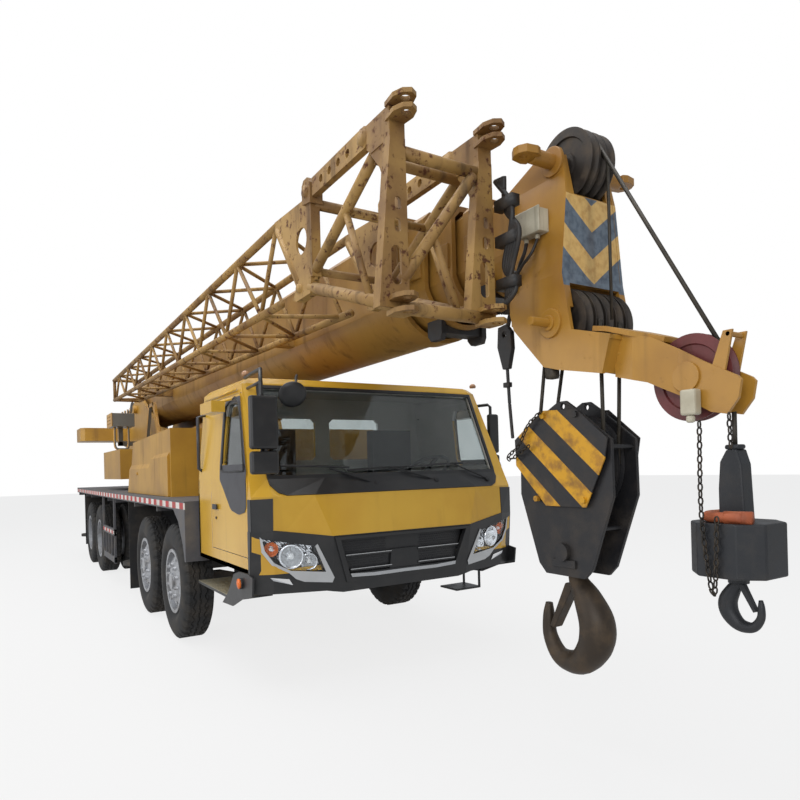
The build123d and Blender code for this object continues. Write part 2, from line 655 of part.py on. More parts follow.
def boom_base():
    """First section with the foot bush and the ears for the lift cylinder."""
    width, height, rear, front = BOOM_SECTIONS[0]
    foot = [pin_y(FOOT_PIN, -415, 415, 150)]
    foot.append(block(rear, rear + 20, -width / 2 + 10, width / 2 - 10, 2760, 3380))
    ears = [side_plate(((-3430, 2650), (-3300, 2290), (-3000, 2290), (-2700, 2650)), side * 135,
                       side * 175) for side in (-1, 1)]
    base = joined([boom_section(1), *foot, *ears])
    base -= extrude(Pos(rear - 10, 0, 0) * boom_face(*BOOM_SECTIONS[1][:2], -12),
                    amount=1, dir=(1, 0, 0))
    base -= pin_y(FOOT_PIN, -420, 420, FOOT_PIN_R + 1)
    return base - inside_of_base(rear + 700, front)


def inside_of_base(rear, front):
    width, height = BOOM_SECTIONS[0][:2]
    room = extrude(boom_face(width, height, BOOM_WALL), amount=front - rear + 10, dir=(1, 0, 0))
    return Pos(rear, 0, 0) * room


HEAD_OUTLINE = ((1700, 2790), (1870, 2360), (2040, 2220), (2450, 2110), (2480, 2310), (2280, 2370),
                (2260, 2610), (2210, 2680), (2200, 3100), (2180, 3300), (2100, 3400), (1960, 3400),
                (1700, 3260))


def boom_head():
    """Innermost section with the head: two cheeks, a front plate and the rooster arms."""
    width, height, rear, front = BOOM_SECTIONS[4]
    tube = boom_tube(width, height, rear, front)
    cheeks = [side_plate(HEAD_OUTLINE, side * (HEAD_Y - HEAD_PLATE), side * HEAD_Y)
              for side in (-1, 1)]
    face = side_plate(((2180, 2670), (2208, 2670), (2200, 3100), (2172, 3100)), -HEAD_Y, HEAD_Y)
    bosses = []
    for x, z in ((2140, 3330), (2130, 2430)):
        for side in (-1, 1):
            bosses.append(pin_y((x, z), side * (HEAD_Y - 5), side * 335, 55))
    arms = [side_plate(((2430, 2120), (2460, 2320), (2800, 2270), (3080, 2130), (ROOSTER_TIP_X, 1985),
                        (3100, 1900), (2700, 1920), (2440, 2080)), side * 90, side * 120)
            for side in (-1, 1)]
    mount = block(2330, 2470, -HEAD_Y, HEAD_Y, 2130, 2300)
    root = block(1700, 1740, -HEAD_Y, HEAD_Y, 2800, 3250)
    head = joined([tube, *cheeks, face, *bosses, *arms, mount, root])
    head -= pin_y(LOWER_SHEAVE, -300, 300, SHAFT_R)
    head -= pin_y(UPPER_SHEAVE, -300, 300, SHAFT_R)
    return head - pin_y(ROOSTER_SHEAVE, -300, 300, SHAFT_R)


def sheave(point, radius, y):
    """A grooved rope sheave."""
    half = SHEAVE_W / 2
    face = turned(((-half, 0), (-half, radius + 18), (-half + 8, radius + 18), (-8, radius - 12),
                   (8, radius - 12), (half - 8, radius + 18), (half, radius + 18), (half, 0)))
    return Pos(point[0], y, point[1]) * face


def head_sheaves():
    """Lower and upper sheaves of the head and the rooster sheave, each row on its shaft."""
    pieces = [sheave(LOWER_SHEAVE, LOWER_SHEAVE_R, y) for y in (-160, -80, 0, 80, 160)]
    pieces += [sheave(UPPER_SHEAVE, UPPER_SHEAVE_R, y) for y in (-60, 60)]
    pieces.append(sheave(ROOSTER_SHEAVE, ROOSTER_SHEAVE_R, 0))
    pieces.append(pin_y(LOWER_SHEAVE, -HEAD_Y - 15, HEAD_Y + 15, SHAFT_R))
    pieces.append(pin_y(UPPER_SHEAVE, -HEAD_Y - 15, HEAD_Y + 15, SHAFT_R))
    pieces.append(pin_y(ROOSTER_SHEAVE, -140, 140, SHAFT_R))
    return joined(pieces)


# ---- hooks -------------------------------------------------------------------------------
def hook_shape(x, z_eye, size):
    """A single hook hanging from (x, z_eye): shank, round bowl and tip, by its throat size."""
    shank = bar((x, 0, z_eye), (x, 0, z_eye - size * 1.1), size * 0.24)
    centre_z = z_eye - size * 1.75
    rim = Circle(size * 0.5)
    bowl = Plane(origin=(x, 0, centre_z), z_dir=(0, 1, 0)) * Torus(size * 0.72, size * 0.24)
    gap = Pos(x + size * 0.62, 0, centre_z + size * 0.55) * Box(size * 1.0, size, size * 1.0)
    return shank + (bowl - gap)


def hook_block():
    """Two octagonal cheeks, the sheaves between them and the falls up to the head."""
    x, z = BLOCK_SHEAVE
    outline = ((x - 130, 1980), (x - 330, 1760), (x - 330, 1560), (x - 150, 1060), (x + 150, 1060),
               (x + 330, 1560), (x + 330, 1760), (x + 130, 1980))
    cheeks = [side_plate(outline, side * 110, side * 140) for side in (-1, 1)]
    sheaves = [sheave(BLOCK_SHEAVE, BLOCK_SHEAVE_R, y) for y in (-70, 0, 70)]
    shaft = pin_y(BLOCK_SHEAVE, -170, 170, SHAFT_R)
    trunnion = block(x - 110, x + 110, -110, 110, 1060, 1200)
    falls = []
    for side in (-1, 1):
        low_x = x + side * (BLOCK_SHEAVE_R - 6)
        high_x = LOWER_SHEAVE[0] + side * LOWER_SHEAVE_R
        for y in (-70, 70):
            falls.append(bar((low_x, y, z), (high_x, y * 80 / 70, LOWER_SHEAVE[1]), ROPE_R))
    return joined([*cheeks, *sheaves, shaft, trunnion, *falls])


def main_hook():
    return hook_shape(BLOCK_SHEAVE[0], 1060, 230)


def aux_hook():
    """Rope, socket, weight and the small hook of the auxiliary hoist."""
    x = AUX_ROPE_X
    rope = bar((x, 0, 1700), (x, 0, ROOSTER_SHEAVE[1]), ROPE_R)
    socket = block(x - 45, x + 45, -40, 40, 1380, 1720)
    weight = plan_plate(((x - 175, -90), (x - 90, -175), (x + 90, -175), (x + 175, -90),
                         (x + 175, 90), (x + 90, 175), (x - 90, 175), (x - 175, 90)), 1140, 1380)
    return joined([rope, socket, weight, hook_shape(x, 1160, 95)])


# ---- jib ---------------------------------------------------------------------------------
def stowed_jib():
    """Lattice jib: forked portal in front, a deep joint frame, then a straight lattice."""
    chord, lace = 32, 20
    low, high = 2960, 3400
    rear, front = JIB_REAR_X, 700
    bays = 10
    pieces = []
    for y in (JIB_OUT_Y, JIB_IN_Y):
        for z in (low, high):
            pieces.append(bar((rear, y, z), (front, y, z), chord))
    pitch = (front - rear) / bays
    for n in range(bays):
        x0, x1 = rear + n * pitch, rear + (n + 1) * pitch
        if n % 2:
            x0, x1 = x1, x0
        for y in (JIB_OUT_Y, JIB_IN_Y):
            pieces.append(bar((x0, y, low), (x1, y, high), lace))
        for z in (low, high):
            pieces.append(bar((x0, JIB_OUT_Y, z), (x1, JIB_IN_Y, z), lace))
    for y in (JIB_OUT_Y, JIB_IN_Y):
        pieces.append(side_plate(((660, 2870), (660, 3480), (860, 3480), (860, 2870)), y - 20, y + 20))
        pieces.append(bar((760, y, 3440), (1900, y, 3410), 40))
        pieces.append(bar((760, y, 2900), (1900, y, 2510), 40))
        pieces.append(side_plate(((1880, 2460), (1880, 3450), (2040, 3450), (2040, 2460)), y - 20,
                                 y + 20))
    for x, z in ((1940, 3380), (1940, 2530), (760, 3440), (760, 2910)):
        pieces.append(bar((x, JIB_OUT_Y, z), (x, JIB_IN_Y, z), 38))
    for x in (-6500, -1200):
        pieces.append(block(x - 60, x + 60, JIB_IN_Y, -BOOM_SECTIONS[0][0] / 2, 2980, 3100))
    return joined(pieces)


# ---- writing -----------------------------------------------------------------------------
def all_pieces():
    pieces = {
        "chassis_frame": chassis_frame(), "carrier_deck": carrier_deck(),
        "axle_beams": axle_beams(), "engine_block": engine_block(),
        "engine_hood": engine_hood(), "cab_shell": cab_shell(), "cab_trim": cab_trim(),
        "cab_glass": cab_glass(), "cab_interior": cab_interior(), "front_lamps": front_lamps(),
        "door_right": cab_door(), "door_left": other_side(cab_door()),
        "door_glass_right": door_glass(), "door_glass_left": other_side(door_glass()),
        "turntable_frame": turntable_frame(), "counterweight": counterweight(),
        "winch_drums": winch_drums(), "operator_cab": operator_cab(),
        "operator_cab_glass": operator_cab_glass(), "operator_door": operator_door(),
        "lift_barrel": lift_barrel(), "lift_rod": lift_rod(),
        "boom_base": boom_base(), "boom_section_2": boom_section(2),
        "boom_section_3": boom_section(3), "boom_section_4": boom_section(4),
        "boom_head": boom_head(), "head_sheaves": head_sheaves(), "stowed_jib": stowed_jib(),
        "hook_block": hook_block(), "main_hook": main_hook(), "aux_hook": aux_hook(),
    }
    pieces.update(wheels())
    pieces.update(knuckles())
    pieces.update(outriggers())
    return pieces


def write_piece(name, solid):
    export_step(Pos(-MIDDLE_X, 0, 0) * solid, f"parts/{name}.step")


def main():
    os.makedirs("parts", exist_ok=True)
    for name, solid in all_pieces().items():
        write_piece(name, solid)


if __name__ == "__main__":
    main()
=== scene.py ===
import math

import bmesh
import bpy
import numpy as np
from mathutils import Matrix, Vector
from mathutils.geometry import delaunay_2d_cdt, tessellate_polygon


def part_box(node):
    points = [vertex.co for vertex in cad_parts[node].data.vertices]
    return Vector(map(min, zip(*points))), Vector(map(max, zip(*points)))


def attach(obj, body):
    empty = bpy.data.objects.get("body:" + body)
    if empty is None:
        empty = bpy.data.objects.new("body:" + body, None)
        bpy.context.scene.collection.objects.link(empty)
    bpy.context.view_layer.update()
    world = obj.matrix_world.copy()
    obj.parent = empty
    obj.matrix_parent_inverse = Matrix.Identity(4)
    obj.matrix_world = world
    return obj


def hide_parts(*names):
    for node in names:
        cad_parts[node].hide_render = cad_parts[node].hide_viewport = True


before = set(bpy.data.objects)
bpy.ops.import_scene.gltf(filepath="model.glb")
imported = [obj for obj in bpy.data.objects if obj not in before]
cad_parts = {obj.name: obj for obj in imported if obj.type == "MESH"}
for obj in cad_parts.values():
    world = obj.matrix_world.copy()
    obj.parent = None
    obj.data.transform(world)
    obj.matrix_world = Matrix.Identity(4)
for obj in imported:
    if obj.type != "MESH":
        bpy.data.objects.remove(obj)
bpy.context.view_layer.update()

# ---- Studio --------------------------------------------------------------------------------
# A pale floor under an even sky that looks white, lit by a large softbox overhead, a long one in
# front and a weaker one at the side.


def arithmetic(operation):
    """A method of Wire: one Math node on the wire and another wire or number."""
    return lambda self, other: self.maths(operation, other)


class Wire:
    """One output socket of a material; arithmetic on it adds Math nodes."""

    def __init__(self, finish, socket):
        self.finish, self.socket = finish, socket

    def maths(self, operation, *values):
        return self.finish.node("Math", {"operation": operation}, dict(enumerate((self, *values))))

    def __abs__(self):
        return self.maths("ABSOLUTE")

    def __rsub__(self, other):
        return self.finish.node("Math", {"operation": "SUBTRACT"}, {0: other, 1: self})

    __add__ = __radd__ = arithmetic("ADD")
    __sub__ = arithmetic("SUBTRACT")
    __mul__ = __rmul__ = arithmetic("MULTIPLY")
    __gt__, __lt__ = arithmetic("GREATER_THAN"), arithmetic("LESS_THAN")


class Finish:
    """A material with one Principled shader, and short ways to add the nodes behind it."""

    def __init__(self, name, **sockets):
        self.material = bpy.data.materials.new(name)
        self.material.use_nodes = True
        self.tree = self.material.node_tree
        self.shader = self.tree.nodes["Principled BSDF"]
        self.set(**sockets)

    def node(self, kind, settings, sockets, output=0):
        """Adds a node of that kind: settings first, then values or wires for its sockets."""
        node = self.tree.nodes.new("ShaderNode" + kind)
        for name, value in settings.items():
            setattr(node, name, value)
        for key, value in sockets.items():
            if isinstance(value, Wire):
                self.tree.links.new(value.socket, node.inputs[key])
            else:
                node.inputs[key].default_value = value
        return Wire(self, node.outputs[output])

    def set(self, **sockets):
        """Sets the shader's sockets; base_color stands for Base Color and so on."""
        for name, value in sockets.items():
            socket = self.shader.inputs[name.replace("_", " ").title().replace("Ior", "IOR")]
            if isinstance(value, Wire):
                self.tree.links.new(value.socket, socket)
            elif isinstance(value, tuple) and len(value) == 3:
                socket.default_value = (*value, 1)
            else:
                socket.default_value = value

    def place(self):
        """The point on the piece, in metres."""
        return self.node("TexCoord", {}, {}, "Object")

    def facing(self):
        """The surface's direction, turning with the piece."""
        return self.node("TexCoord", {}, {}, "Normal")

    def parts(self, vector):
        """The x, y and z of a vector."""
        first = self.node("SeparateXYZ", {}, {0: vector})
        return [Wire(self, socket) for socket in first.socket.node.outputs]

    def spot(self):
        """x forward of the station, y to the left and z up, in metres."""
        x, y, z = self.parts(self.place())
        return x - STATION, y, z

    def noise(self, scale, detail=4, stretch=(1, 1, 1), rough=0.55):
        """Cloudy noise, as many patches a metre as scale, drawn out along an axis by stretch."""
        spot = self.node("Mapping", {}, {"Vector": self.place(), "Scale": stretch})
        return self.node("TexNoise", {}, {"Vector": spot, "Scale": scale, "Detail": detail,
                                          "Roughness": rough}, "Fac")

    def step(self, value, low, high):
        """0 below low, 1 above high and smooth in between."""
        return self.node("MapRange", {"interpolation_type": "SMOOTHSTEP"},
                         {"Value": value, "From Min": low, "From Max": high})

    def mix(self, factor, first, second):
        """Colour first where factor is 0, second where it is 1."""
        colours = [c if isinstance(c, Wire) else (*c, 1) for c in (first, second)]
        return self.node("Mix", {"data_type": "RGBA"}, {0: factor, 6: colours[0], 7: colours[1]}, 2)

    def bump(self, height, distance, strength=0.5):
        """A bumped surface direction from a height between 0 and 1."""
        return self.node("Bump", {}, {"Strength": strength, "Distance": distance,
                                      "Height": height})


def colour(red, green, blue):
    """A colour as seen on screen, 0 to 255, turned into light."""
    return tuple(((c / 255 + 0.055) / 1.055) ** 2.4 if c > 10 else c / 3295
                 for c in (red, green, blue))


def mesh_object(name, points, faces, finish, smooth=False):
    """A piece at the origin from rows of points and rows of corner numbers."""
    mesh = bpy.data.meshes.new(name)
    mesh.from_pydata(np.asarray(points).tolist(), [], [tuple(int(i) for i in f) for f in faces])
    mesh.polygons.foreach_set("use_smooth", [smooth] * len(mesh.polygons))
    piece = bpy.data.objects.new(name, mesh)
    bpy.context.scene.collection.objects.link(piece)
    mesh.materials.append(finish.material)
    return piece


def grid_faces(rows, columns, close_rows=False, close_columns=False):
    """Corner numbers of a grid of rows by columns, joined round where asked."""
    r = np.arange(rows if close_rows else rows - 1)[:, None]
    c = np.arange(columns if close_columns else columns - 1)[None, :]
    r2, c2 = (r + 1) % rows, (c + 1) % columns
    quads = np.stack([r * columns + c, r * columns + c2, r2 * columns + c2, r2 * columns + c], -1)
    return quads.reshape(-1, 4)


pale = Finish("pale_floor", roughness=0.9, specular_ior_level=0.1)
cloud = pale.noise(0.15, 2)
pale.set(base_color=pale.mix(cloud, (0.42, 0.42, 0.42), (0.46, 0.46, 0.46)))
rays = pale.node("LightPath", {}, {}, "Is Camera Ray")
glints = pale.node("LightPath", {}, {}, "Is Glossy Ray")
through = pale.node("LightPath", {}, {}, "Is Transmission Ray")
white = pale.node("Emission", {}, {"Color": (1, 1, 1, 1), "Strength": 1.0})
mixed = pale.node("MixShader", {}, {0: rays * 0.8 + glints * 0.5 + through * 0.8,
                                    1: Wire(pale, pale.shader.outputs[0]), 2: white})
pale.tree.links.new(mixed.socket, pale.tree.nodes["Material Output"].inputs["Surface"])
FLOOR_HALF, FLOOR_ROWS = 60, 9
across = np.linspace(-FLOOR_HALF, FLOOR_HALF, FLOOR_ROWS)
ground = np.stack([*np.meshgrid(across, across, indexing="ij"),
                   np.zeros((FLOOR_ROWS, FLOOR_ROWS))], -1)
floor = mesh_object("floor", ground.reshape(-1, 3), grid_faces(FLOOR_ROWS, FLOOR_ROWS)[:, ::-1],
                    pale)


def softbox(name, centre, target, width, depth, power):
    """A rectangular lamp that looks at a target."""
    lamp = bpy.data.lights.new(name, "AREA")
    lamp.shape, lamp.size, lamp.size_y, lamp.energy = "RECTANGLE", width, depth, power
    holder = bpy.data.objects.new(name, lamp)
    bpy.context.scene.collection.objects.link(holder)
    holder.location = centre
    holder.rotation_euler = (Vector(target) - Vector(centre)).to_track_quat("-Z", "Y").to_euler()


softbox("softbox_above", (1.0, -2.0, 11.0), (0.5, 0.0, 1.0), 14.0, 9.0, 1150)
softbox("softbox_front", (13.0, -9.0, 5.5), (4.0, 0.0, 2.0), 9.0, 5.0, 620)
softbox("softbox_side", (-4.0, -14.0, 5.0), (-1.0, 0.0, 1.5), 12.0, 5.0, 520)

world = bpy.data.worlds.new("sky")
bpy.context.scene.world = world
world.use_nodes = True
sky = world.node_tree
even, seen = sky.nodes["Background"], sky.nodes.new("ShaderNodeBackground")
rays, chosen = [sky.nodes.new("ShaderNode" + kind) for kind in ("LightPath", "MixShader")]
some = sky.nodes.new("ShaderNodeMath")
some.operation = "MAXIMUM"
for node, tone, strength in ((even, (0.93, 0.96, 1.0, 1), 0.55), (seen, (1, 1, 1, 1), 1.0)):
    node.inputs["Color"].default_value, node.inputs["Strength"].default_value = tone, strength
for start, end in ((rays.outputs["Is Camera Ray"], some.inputs[0]),
                   (rays.outputs["Is Transmission Ray"], some.inputs[1]),
                   (some.outputs["Value"], chosen.inputs["Fac"]),
                   (even.outputs["Background"], chosen.inputs[1]),
                   (seen.outputs["Background"], chosen.inputs[2]),
                   (chosen.outputs["Shader"], sky.nodes["World Output"].inputs["Surface"])):
    sky.links.new(start, end)

CAMERA_AT = Vector((8.645, -2.812, 1.664))
YAW, PITCH, ROLL = math.radians(32.708), math.radians(0.049), math.radians(-1.53)
ahead = Vector((-math.cos(YAW) * math.cos(PITCH), math.sin(YAW) * math.cos(PITCH),
                math.sin(PITCH)))
level_right = ahead.cross(Vector((0, 0, 1))).normalized()
level_up = level_right.cross(ahead)
right = level_right * math.cos(ROLL) + level_up * math.sin(ROLL)
up = level_up * math.cos(ROLL) - level_right * math.sin(ROLL)
lens = bpy.data.cameras.new("camera")
lens.lens, lens.sensor_width, lens.shift_x, lens.shift_y = 29.1, 36, -0.017, 0.083
lens.clip_end = 200
camera = bpy.data.objects.new("camera", lens)
turned = Matrix((right, up, -ahead)).transposed().to_4x4()
camera.matrix_world = Matrix.Translation(CAMERA_AT) @ turned
bpy.context.scene.collection.objects.link(camera)
bpy.context.scene.camera = camera
bpy.context.scene.view_settings.view_transform = "Standard"

# ---- Frame, axles and deck -----------------------------------------------------------------
# Welded steel box frame with its springs and axles, black paint greyed by road dust. The deck
# on it is checker plate with a grey edge beam that carries reflective tape.
NOSE_LENGTH = 0.110         # from the cab's front corners, the station, to the tip of its nose
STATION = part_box("cab_shell")[1].x - NOSE_LENGTH


def coat(finish, *nodes):
    """Gives CAD nodes their finish."""
    for name in nodes:
        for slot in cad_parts[name].material_slots:
            slot.material = finish.material


def painted(name, base, shade, rust=0.0, dust=0.3, streaks=0.3, gloss=0.35, scale=1.0,
            pattern=None):
    """Spray paint with patchy tone, rain streaks, dust on top and rust where asked; its colours
    are as seen on screen."""
    paint = Finish(name, roughness=gloss)
    patches = paint.step(paint.noise(1.6 * scale, 5), 0.35, 0.7)
    tone = paint.mix(patches, colour(*base), colour(*shade))
    if pattern:
        tone = pattern(paint, tone)
    runs = paint.step(paint.noise(7 * scale, 5, (1, 1, 0.08)), 0.52, 0.75) * streaks
    tone = paint.mix(runs, tone, colour(66, 48, 30))
    north = paint.parts(paint.facing())[2]
    lying = paint.step(north, 0.5, 0.95) * paint.step(paint.noise(3 * scale), 0.3, 0.7) * dust
    tone = paint.mix(lying, tone, colour(140, 124, 100))
    spots = paint.step(paint.noise(11 * scale, 8, rough=0.68), 0.62 - 0.1 * rust,
                       0.7 - 0.08 * rust)
    if rust:
        tone = paint.mix(spots * min(rust * 1.4, 1), tone, colour(84, 48, 28))
    paint.set(base_color=tone, roughness=spots * (0.5 * rust) + lying * 0.6 + runs * 0.3 + gloss)
    grain = paint.noise(45 * scale, 3) * 0.3 + spots * (-0.7 * min(rust * 3, 1))
    paint.set(normal=paint.bump(grain, 0.002, 0.35))
    return paint


def dark(name, base, dusty, gloss=0.55, metal=0.0, grime=0.5, scale=1.0, pattern=None):
    """A bare or black surface with pale dust in patches and a fine grain."""
    finish = Finish(name, roughness=gloss, metallic=metal)
    patches = finish.step(finish.noise(5 * scale, 6), 0.4, 0.75) * grime
    tone = colour(*base)
    if pattern:
        tone = pattern(finish, finish.mix(0.0, tone, tone))
    finish.set(base_color=finish.mix(patches, tone, colour(*dusty)),
               roughness=patches * 0.35 + gloss)
    finish.set(normal=finish.bump(finish.noise(90 * scale, 3), 0.0015, 0.4))
    return finish


def taped_edge(finish, tone):
    """Red and white tape, 0.15 m each, along the edge beams and the side guards' rails."""
    x, y, z = finish.spot()
    side = abs(y) > 1.337
    edge = (z > 1.325) * (z < 1.385) * (abs(y) > 1.37) * (x < -1.5)
    rails = (z > 0.772) * (z < 0.822) * (x < -5.93) * (x > -7.14)
    red = (x + 20).maths("MODULO", 0.3) < 0.15
    tape = finish.mix(red, colour(214, 210, 204), colour(178, 44, 44))
    return finish.mix(side * (edge + rails), tone, tape)


black_paint = dark("black_paint", (34, 35, 38), (84, 80, 74), grime=0.4)
road_paint = dark("road_paint", (44, 42, 41), (104, 94, 82), 0.7, grime=0.65, scale=1.4)
deck_paint = dark("deck_paint", (74, 74, 78), (118, 110, 100), 0.55, grime=0.5, pattern=taped_edge)
coat(black_paint, "chassis_frame", "engine_block")
coat(road_paint, "axle_beams")
coat(deck_paint, "carrier_deck")

# ---- Tyres ---------------------------------------------------------------------------------
# Radial truck tyres, rubber moulded over steel cord: four ribs parted by zigzag grooves and a
# row of open shoulder lugs at each side.


def together(*shapes):
    """Several shapes as one."""
    points, faces, start = [], [], 0
    for shape_points, shape_faces in shapes:
        points.append(np.asarray(shape_points, float))
        faces += [[corner + start for corner in face] for face in shape_faces]
        start += len(shape_points)
    return np.vstack(points), faces


def add(name, shape, finish, body, smooth=False, outward=True, thick=0.0, bevel=0.0,
        replaces=None):
    """Makes a shape, drawn with x from the station, a piece that moves with a body, its faces
    turned outwards; thick gives a sheet its thickness inwards, and bevel rounds its edges."""
    points = np.asarray(shape[0], float) + np.array([STATION, 0.0, 0.0])
    piece = mesh_object(name, points, shape[1], finish, smooth)
    if outward and not thick:
        work = bmesh.new()
        work.from_mesh(piece.data)
        bmesh.ops.recalc_face_normals(work, faces=work.faces)
        work.to_mesh(piece.data)
        work.free()
    if thick:
        wall = piece.modifiers.new("wall", "SOLIDIFY")
        wall.thickness, wall.offset, wall.use_even_offset = thick, -1, True
    if bevel:
        edge = piece.modifiers.new("edge", "BEVEL")
        edge.width, edge.segments, edge.limit_method = bevel, 2, "ANGLE"
        edge.angle_limit, edge.use_clamp_overlap = math.radians(40), True
    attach(piece, body)
    if replaces:
        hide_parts(replaces)
    return piece


GROOVE, TREAD_RADIUS, SHOULDER_RADIUS = 0.014, 0.575, 0.54


def tyre_shape(centre, around=216):
    """Grid of angle by profile: (r sin a, y, r cos a), r less GROOVE in the grooves."""
    side_rows = [(0.117, 0.306), (0.119, 0.335), (0.138, 0.37), (0.149, 0.4), (0.151, 0.43),
                 (0.147, 0.465), (0.143, 0.5), (0.135, 0.528), (0.124, 0.552), (0.112, 0.568)]
    tread = np.linspace(-0.103, 0.103, 22)
    profile = np.array([(-w, r) for w, r in side_rows] + [(w, TREAD_RADIUS) for w in tread]
                       + [(w, r) for w, r in reversed(side_rows)])
    w, r = profile.T
    step = np.arange(around)[:, None]
    angle = step * 2 * np.pi / around
    zigzag = 0.008 * np.where(step % 6 < 3, step % 6 - 1, 4 - step % 6)
    grooved = np.zeros((around, len(w)), bool)
    for line in (-0.055, 0.0, 0.055):
        grooved |= (np.abs(w[None] - line - zigzag) < 0.0055) & (r[None] > 0.57)
    notch = (np.abs(w[None]) > 0.066) & (r[None] > 0.53)
    shift = np.where(w[None] > 0, 0, 3)
    grooved |= notch & ((step + shift) % 6 < 2)
    radius = r[None] - GROOVE * grooved
    points = np.stack([centre[0] + radius * np.sin(angle),
                       np.broadcast_to(centre[1] + w[None], radius.shape),
                       centre[2] + radius * np.cos(angle)], -1)
    return points.reshape(-1, 3), grid_faces(around, len(w), True, False).tolist()


TWIN_STEP, TYRE_HALF = 0.35, 0.155
WHEELS = [(number, side, sign) for side, sign in (("left", 1), ("right", -1))
          for number in (1, 2, 3, 4)]
rubber = dark("tyre_rubber", (26, 26, 27), (92, 84, 74), 0.8, grime=0.4)
for number, side, sign in WHEELS:
    low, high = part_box(f"tyre_{number}_{side}")
    middle = (low + high) / 2
    outer = (high.y if sign > 0 else -low.y) - TYRE_HALF
    rows_y = [outer] if number < 3 else [outer, outer - TWIN_STEP]
    shape = together(*[tyre_shape((middle.x - STATION, sign * y, middle.z)) for y in rows_y])
    piece = add(f"tread_{number}_{side}", shape, rubber, f"wheel_{number}_{side}",
                replaces=f"tyre_{number}_{side}")
    radius = np.array([math.hypot(p.center.x - middle.x, p.center.z - middle.z)
                       for p in piece.data.polygons])
    piece.data.polygons.foreach_set("use_smooth", radius < SHOULDER_RADIUS)

# ---- Wheel nuts ------------------------------------------------------------------------------
# Ten long sleeve nuts clamp each wheel on its hub: grey zinc, grimy in the corners. The rims and
# hubs behind them are sprayed silver.


def turned_shape(profile, sides=24):
    """A solid of revolution about z: (r cos a, r sin a, h) for each row r, h of the profile."""
    r, h = np.asarray(profile, float).T
    angle = np.linspace(0, 2 * np.pi, sides, endpoint=False)
    points = np.stack([r[:, None] * np.cos(angle), r[:, None] * np.sin(angle),
                       np.broadcast_to(h[:, None], (len(r), sides))], -1)
    return points.reshape(-1, 3), grid_faces(len(r), sides, False, True).tolist()


def copies(shape, centres, axes=None, sizes=None):
    """Many copies of one shape: centre + size * (shape turned so that z points along axis)."""
    points, faces = np.asarray(shape[0], float), shape[1]
    centres = np.asarray(centres, float).reshape(-1, 3)
    count = len(centres)
    axes = np.broadcast_to(np.asarray((0, 0, 1) if axes is None else axes, float), (count, 3))
    z = axes / np.linalg.norm(axes, axis=1, keepdims=True)
    guide = np.where(np.abs(z[:, 2:]) > 0.9, [[1.0, 0, 0]], [[0, 0, 1.0]])
    x = np.cross(guide, z)
    x /= np.linalg.norm(x, axis=1, keepdims=True)
    y = np.cross(z, x)
    scale = np.broadcast_to(np.asarray(1.0 if sizes is None else sizes, float), (count,))
    turn = np.stack([x, y, z], 1) * scale[:, None, None]
    moved = centres[:, None] + np.einsum("pk,nkj->npj", points, turn)
    first = np.arange(count) * len(points)
    all_faces = [[corner + start for corner in face] for start in first.tolist() for face in faces]
    return moved.reshape(-1, 3), all_faces


NUT_CIRCLE, NUTS = 0.168, 10
FRONT_FACE, REAR_FACE = 1.312, 1.169        # |y| of the discs that the nuts stand on
silver = dark("wheel_silver", (168, 170, 174), (104, 96, 86), 0.42, 0.55, 0.55, 2)
nut = turned_shape(((0, 0), (0.027, 0), (0.027, 0.008), (0.019, 0.012), (0.019, 0.05),
                    (0.015, 0.058), (0, 0.06)), 8)
for number, side, sign in WHEELS:
    coat(silver, f"rim_{number}_{side}")
    if number < 3:
        coat(road_paint, f"knuckle_{number}_{side}")
    low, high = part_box(f"rim_{number}_{side}")
    middle = (low + high) / 2
    face = sign * (FRONT_FACE if number < 3 else REAR_FACE)
    angle = 2 * np.pi / NUTS * np.arange(NUTS)
    centres = np.stack([middle.x - STATION + NUT_CIRCLE * np.sin(angle), np.full(NUTS, face),
                        middle.z + NUT_CIRCLE * np.cos(angle)], -1)
    add(f"wheel_nuts_{number}_{side}", copies(nut, centres, (0, sign, 0)), silver,
        f"wheel_{number}_{side}", True)

# ---- Cab ---------------------------------------------------------------------------------------
# Pressed steel shell, sprayed yellow outside and lined in warm grey inside, with dark cloth seats
# and a laminated windscreen. Its front is folded between corner, edge and crease at each height.


def tube(path, radius, sides=10, close=False):
    """A tube along a path: p + radius * (u cos a + v sin a), u and v square to the path."""
    path = np.asarray(path, float)
    count = len(path)
    step = np.roll(path, -1, 0) - np.roll(path, 1, 0) if close else np.gradient(path, axis=0)
    step /= np.linalg.norm(step, axis=1, keepdims=True)
    guide = np.array([0.31, 0.91, 0.27])
    u = np.cross(step, guide)
    u /= np.linalg.norm(u, axis=1, keepdims=True)
    v = np.cross(step, u)
    angle = np.linspace(0, 2 * np.pi, sides, endpoint=False)
    radii = np.broadcast_to(np.asarray(radius, float), (count,))[:, None, None]
    ring = u[:, None] * np.cos(angle)[None, :, None] + v[:, None] * np.sin(angle)[None, :, None]
    points = (path[:, None] + radii * ring).reshape(-1, 3)
    faces = grid_faces(count, sides, close, True).tolist()
    if not close:
        faces += [list(range(sides))[::-1], list(range((count - 1) * sides, count * sides))]
    return points, faces


def bend(points, steps=8):
    """A smooth path through a few points: a Catmull-Rom curve, (2b + (c - a)t + ...) / 2."""
    p = np.asarray(points, float)
    p = np.vstack([2 * p[0] - p[1], p, 2 * p[-1] - p[-2]])
    t = np.linspace(0, 1, steps, endpoint=False)[:, None]
    rows = []
    for a, b, c, d in zip(p, p[1:], p[2:], p[3:]):
        rows.append((2 * b + (c - a) * t + (2 * a - 5 * b + 4 * c - d) * t ** 2
                     + (3 * b - a - 3 * c + d) * t ** 3) / 2)
    return np.vstack(rows + [p[-2:-1]])


